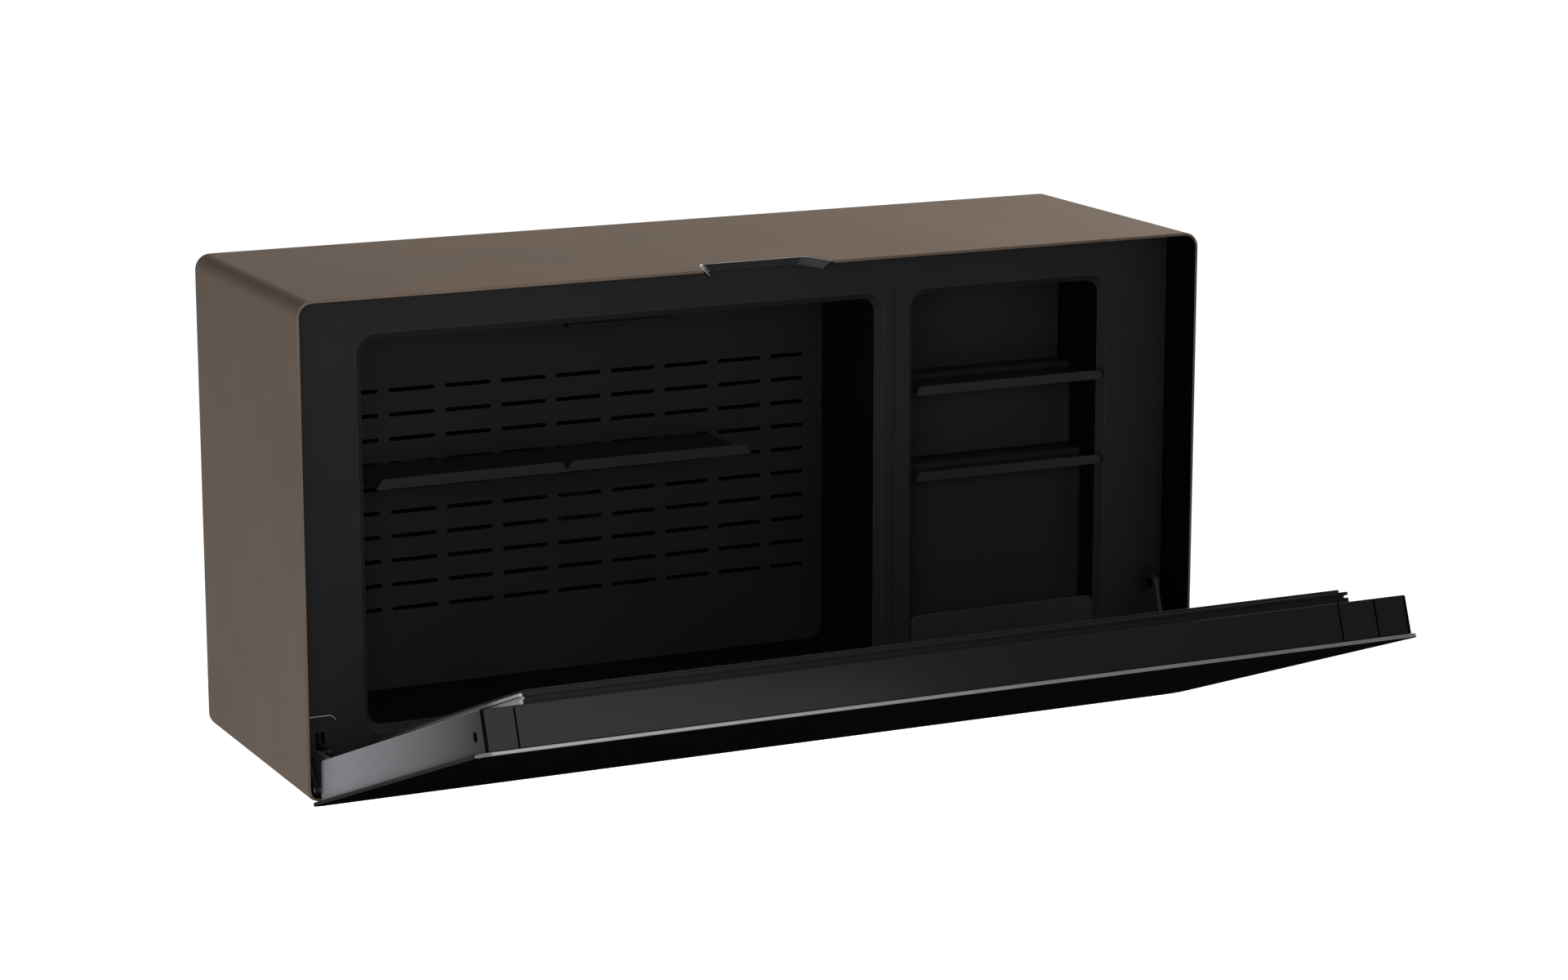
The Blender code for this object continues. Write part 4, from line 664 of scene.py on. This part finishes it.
# %% Duct slots with round ends
SLOT_CORNER, DUCT_RIM = 0.0019, 0.004
shape = merged("duct_panel")
low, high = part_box("duct_panel")
corners = []
for edge in shape.edges:
    a, b = (v.co for v in edge.verts)
    through = abs((a - b).normalized().y) > 0.99
    across = low.x + DUCT_RIM < a.x < high.x - DUCT_RIM
    if through and across and low.z + DUCT_RIM < a.z < high.z - DUCT_RIM:
        corners.append(edge)
bmesh.ops.bevel(shape, geom=corners, offset=SLOT_CORNER, segments=3, profile=0.5,
                affect="EDGES", clamp_overlap=True, material=-1)
for face in shape.faces:
    face.material_index = 1 if abs(face.normal.y) < 0.5 else 0
print("slot corners rounded", len(corners))
stand_in("duct_panel", shape, [duct_black, liner_black])

# %% [markdown]
# The dry bay's tub is a dull moulding whose upright inner corners are rounded. Its back faces the
# light, so it takes a lighter black than its sides, as painted light. The back comes forward
# under each shelf, over the electronics. Each of the two forward backs is a shallow tray on end:
# an outline whose two inner corners are rounded, extruded upwards between the shelves. Boxes
# would do from afar, but the soft light along the rounded corners is what the eye sees here.

# %% Dry bay's tub
TUB_CORNER, BACK_BEHIND = 0.005, -0.20
shape = merged("dry_liner")
tub_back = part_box("dry_liner")[1].y
corners = []
for edge in shape.edges:
    a, b = (v.co for v in edge.verts)
    upright = abs((a - b).normalized().z) > 0.99 and (a - b).length > 0.05
    if upright and edge.is_manifold and edge.calc_face_angle_signed() < -1.0:
        if abs(a.y - tub_back) < 0.006:
            corners.append(edge)
bmesh.ops.bevel(shape, geom=corners, offset=TUB_CORNER, segments=4, profile=0.5,
                affect="EDGES", clamp_overlap=True, material=-1)
# Painted light: faces of the back that look forward take the lighter black.
for face in shape.faces:
    at_back = face.calc_center_median().y > BACK_BEHIND
    face.material_index = 1 if at_back and face.normal.y < -0.35 else 0
print("rounded corners in the tub", len(corners))
stand_in("dry_liner", shape, [liner_black, back_black_painted_lit])

# %% [markdown]
# The lower tray starts where the solid stepped back does, and stops just under the lower
# shelf's top. The middle one goes from there to the upper shelf, not as far forward.

# %% Forward backs
low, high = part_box("dry_step_cover")
TRAY_LEFT, TRAY_RIGHT, TRAY_BACK = low.x, high.x, -0.1656
FILLET, TRAY_LIP = 0.006, 0.0006
MIDDLE_FRONT, UNDER_SHELF, OVER_SHELF = -0.190, 0.0020, 0.0003


def tray(front, under, over):
    """A forward back for one compartment, from height under to height over."""
    mesh = bmesh.new()
    left, right = TRAY_LEFT + TRAY_LIP, TRAY_RIGHT - TRAY_LIP
    line = [(TRAY_LEFT, TRAY_BACK), (TRAY_LEFT, front - FILLET), (left, front - FILLET),
            (left, front), (right, front), (right, front - FILLET),
            (TRAY_RIGHT, front - FILLET), (TRAY_RIGHT, TRAY_BACK)]
    verts = [mesh.verts.new((x, y, under)) for x, y in line]
    mesh.faces.new(verts)
    bmesh.ops.bevel(mesh, geom=[verts[3], verts[4]], offset=FILLET * 0.9, segments=4,
                    profile=0.5, affect="VERTICES", material=-1)
    made = bmesh.ops.extrude_face_region(mesh, geom=list(mesh.faces))["geom"]
    raised = [g for g in made if isinstance(g, bmesh.types.BMVert)]
    bmesh.ops.translate(mesh, vec=(0, 0, over - under), verts=raised)
    bmesh.ops.recalc_face_normals(mesh, faces=mesh.faces)
    return mesh


def joined(shapes):
    """One bmesh that holds all the given ones."""
    carrier = bpy.data.meshes.new("carrier")
    whole = bmesh.new()
    for shape in shapes:
        shape.to_mesh(carrier)
        shape.free()
        whole.from_mesh(carrier)
    bpy.data.meshes.remove(carrier)
    return whole


lower_top, upper_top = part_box("dry_shelf_lower")[1].z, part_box("dry_shelf_upper")[1].z
both = joined([tray(low.y, low.z, lower_top - UNDER_SHELF),
               tray(MIDDLE_FRONT, lower_top + OVER_SHELF, upper_top - UNDER_SHELF)])
print("forward backs", len(both.faces), "faces, top", round(upper_top - UNDER_SHELF, 4))
# The trays take the same lighter black, as painted light.
stand_in("dry_step_cover", both, [back_black_painted_lit], smooth=40)

# %% [markdown]
# The rest of the door is thin sheets on edge. The free-edge wall is cut in four pieces with dark
# joints between them. The inner panel and its rim have their left-facing ends painted pale as a
# highlight, with painted shade that dims them further back. A face's direction says which finish
# it takes, so no line has to be drawn on a texture and no thin strip has to be added.

# %% Door sheets
for node in ("door_edge_left", "door_edge_main", "door_edge_inner", "door_edge_right"):
    shape = merged(node)
    break_edges(shape, 0.0007)
    for face in shape.faces:
        face.material_index = 1 if abs(face.normal.x) > 0.25 else 0
    stand_in(node, shape, [edge_black, joint_and_shade_black])
# Faces looking left, towards the left lamp, take the painted highlight.
for node in ("door_inner_panel", "door_inner_rim"):
    shape = merged(node)
    break_edges(shape, 0.0004)
    for face in shape.faces:
        face.material_index = 1 if face.normal.x < -0.6 else 0
    print(node, "pale faces", sum(f.material_index for f in shape.faces))
    stand_in(node, shape, [panel_black, end_painted_highlight])

# %% [markdown]
# The side plates are pressed steel. Each has one countersunk hole near the free edge, and the
# hole's faces are painted black as shade. The hole's edges are found by their distance from its
# centre, given in the door's own directions: along the glass and away from it. Its outer rim is
# pushed out from the centre, which turns the straight wall into a cone. A bevel of that width
# doesn't fit, because the hole's short wall holds it back. The plate's end closes a narrow joint
# with the free-edge wall, and is dark too.

# %% Side plates
OPEN = math.radians(20.45)
HINGE_DEPTH, HINGE_HEIGHT = 0.0137, -0.0064
HOLE_ALONG, HOLE_IN, HOLE_REACH = 0.4650, 0.020, 0.0040
COUNTERSINK = 0.0022


def door_place(along, into):
    """Depth and height in the part's frame of a place on the open door."""
    depth = HINGE_DEPTH - along * math.cos(OPEN) + into * math.sin(OPEN)
    height = HINGE_HEIGHT + along * math.sin(OPEN) + into * math.cos(OPEN)
    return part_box("outer_casing")[0].y + depth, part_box("outer_casing")[0].z + height


hole_y, hole_z = door_place(HOLE_ALONG, HOLE_IN)
free = Vector((0, -math.cos(OPEN), math.sin(OPEN)))
# The hole's faces are painted black as shade, and the plate's end is a dark joint.
for node in ("door_side_plate_left", "door_side_plate_right"):
    shape = merged(node)
    hole = [v for v in shape.verts
            if math.hypot(v.co.y - hole_y, v.co.z - hole_z) < HOLE_REACH]
    outer = max(abs(v.co.x) for v in hole)
    for vert in hole:
        if abs(vert.co.x) > outer - 0.0001:
            away = Vector((0, vert.co.y - hole_y, vert.co.z - hole_z))
            vert.co += away.normalized() * COUNTERSINK
    print(node, "hole corners", len(hole))
    break_edges(shape, 0.0005, turn=50)
    for face in shape.faces:
        at = face.calc_center_median()
        close = math.hypot(at.y - hole_y, at.z - hole_z) < HOLE_REACH + COUNTERSINK
        in_hole = close and face.calc_area() < 0.0001
        face.material_index = 1 if in_hole or face.normal.dot(free) > 0.3 else 0
    stand_in(node, shape, [plate_grey_painted_light, joint_and_shade_black])

# %% [markdown]
# The door glass is a toughened sheet with a ground and polished free edge, which is
# bright where the light falls on it. Its inner face and its other edges are coated with
# dull black enamel. The real enamel lies behind clear glass. One opaque sheet with three
# finishes looks the same, and a face's direction says which of them it takes.

# %% Door glass
shape = merged("door_glass")
break_edges(shape, 0.0008, turn=50)
outwards = Vector((0, -math.sin(OPEN), -math.cos(OPEN)))
for face in shape.faces:
    if face.normal.dot(outwards) > 0.5:
        face.material_index = 0
    elif face.normal.dot(free) > 0.45:
        face.material_index = 1
    else:
        face.material_index = 2
print("faces on the free edge", sum(f.material_index == 1 for f in shape.faces))
stand_in("door_glass", shape, [glass_dark, glass_edge, glass_back], smooth=20)

# %% [markdown]
# The back of the fridge hangs flat on the wall, so its screws may not stand out. The
# rear panel is set back by less than a millimetre, and the low screw heads fill that
# depth. Each head is a short cylinder with a bevelled rim and a socket: the top is inset
# and the inner face pushed in. A spun profile would give the same head, but this way
# follows how it is turned and pressed, step by step.

# %% Rear panel
SET_BACK = 0.0009
shape = merged("rear_panel")
for vert in shape.verts:
    if vert.co.y > -0.0002:
        vert.co.y = -SET_BACK
break_edges(shape, 0.0003)
stand_in("rear_panel", shape, [brown])
print("rear panel set back by", SET_BACK)

# %% Screws of the rear panel
HEAD_RADIUS, HEAD_HEIGHT, HEAD_RIM = 0.0042, 0.0016, 0.0004
SOCKET_RADIUS, SOCKET_DEPTH = 0.0019, 0.0010
SCREW_COLUMNS, SCREW_ROWS = (-0.478, -0.240, 0.0, 0.240, 0.478), (-0.234, 0.234)
HEAD_BASE = -0.0017


def screw_head(place):
    """A low screw head whose top looks along +Y, with a round socket."""
    mesh = bmesh.new()
    ring = bmesh.ops.create_circle(mesh, cap_ends=True, segments=20, radius=HEAD_RADIUS)
    base = ring["verts"][0].link_faces[0]
    top = bmesh.ops.extrude_face_region(mesh, geom=[base])["geom"]
    cap = next(g for g in top if isinstance(g, bmesh.types.BMFace))
    bmesh.ops.translate(mesh, vec=(0, 0, HEAD_HEIGHT), verts=cap.verts)
    bmesh.ops.bevel(mesh, geom=list(cap.edges), offset=HEAD_RIM, segments=2, profile=0.5,
                    affect="EDGES", clamp_overlap=True, material=-1)
    cap = max((f for f in mesh.faces if abs(f.normal.z) > 0.9),
              key=lambda f: f.calc_center_median().z)
    bmesh.ops.inset_region(mesh, faces=[cap], thickness=HEAD_RADIUS - HEAD_RIM - SOCKET_RADIUS)
    bmesh.ops.translate(mesh, vec=(0, 0, -SOCKET_DEPTH), verts=cap.verts)
    bmesh.ops.recalc_face_normals(mesh, faces=mesh.faces)
    bmesh.ops.rotate(mesh, matrix=Matrix.Rotation(math.radians(-90), 3, "X"), verts=mesh.verts)
    bmesh.ops.translate(mesh, vec=place, verts=mesh.verts)
    return mesh


heads = joined([screw_head((x, HEAD_BASE, z)) for x in SCREW_COLUMNS for z in SCREW_ROWS])
screws = object_from(heads, "rear_screws", dark_zinc)
screws.data.shade_smooth()
screws.data.set_sharp_from_angle(angle=math.radians(35))
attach(screws, "cabinet")
print("screws, highest point", round(max(v.co.y for v in screws.data.vertices), 5))

# %% [markdown]
# The power inlet's well holds three flat contact blades with tapered tips. Each starts as
# a cube that is scaled to a blade, its outer end is drawn in, and its edges are broken.
# They are small, but without them the inlet seen from behind is an empty hole.

# %% Inlet blades
BLADE, BLADE_TIP = (0.0020, 0.0104, 0.0042), (0.5, 1, 0.7)
BLADE_EDGE, BLADE_MIDDLE = 0.0002, -0.0090
blades = bmesh.new()
for x, z in ((0.4220, -0.1770), (0.4300, -0.1725), (0.4380, -0.1770)):
    made = bmesh.ops.create_cube(blades, size=1)["verts"]
    bmesh.ops.scale(blades, vec=BLADE, verts=made)
    bmesh.ops.scale(blades, vec=BLADE_TIP, verts=[v for v in made if v.co.y > 0])
    bmesh.ops.translate(blades, vec=(x, BLADE_MIDDLE, z), verts=made)
bmesh.ops.bevel(blades, geom=list(blades.edges), offset=BLADE_EDGE, segments=1, profile=0.5,
                affect="EDGES", clamp_overlap=True, material=-1)
contacts = object_from(blades, "inlet_blades", zinc)
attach(contacts, "cabinet")
print("blades", len(contacts.data.polygons), "faces")

# %% [markdown]
# Last, both boxes are printed: the solids' and the dressed fridge's. They should agree, because
# the finishes are not meant to change the size of the part.

# %% Size
low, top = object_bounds()
print("cad", [round(v, 4) for v in (*cad_low, *cad_high)])
print("now", [round(v, 4) for v in (*low, *top)])
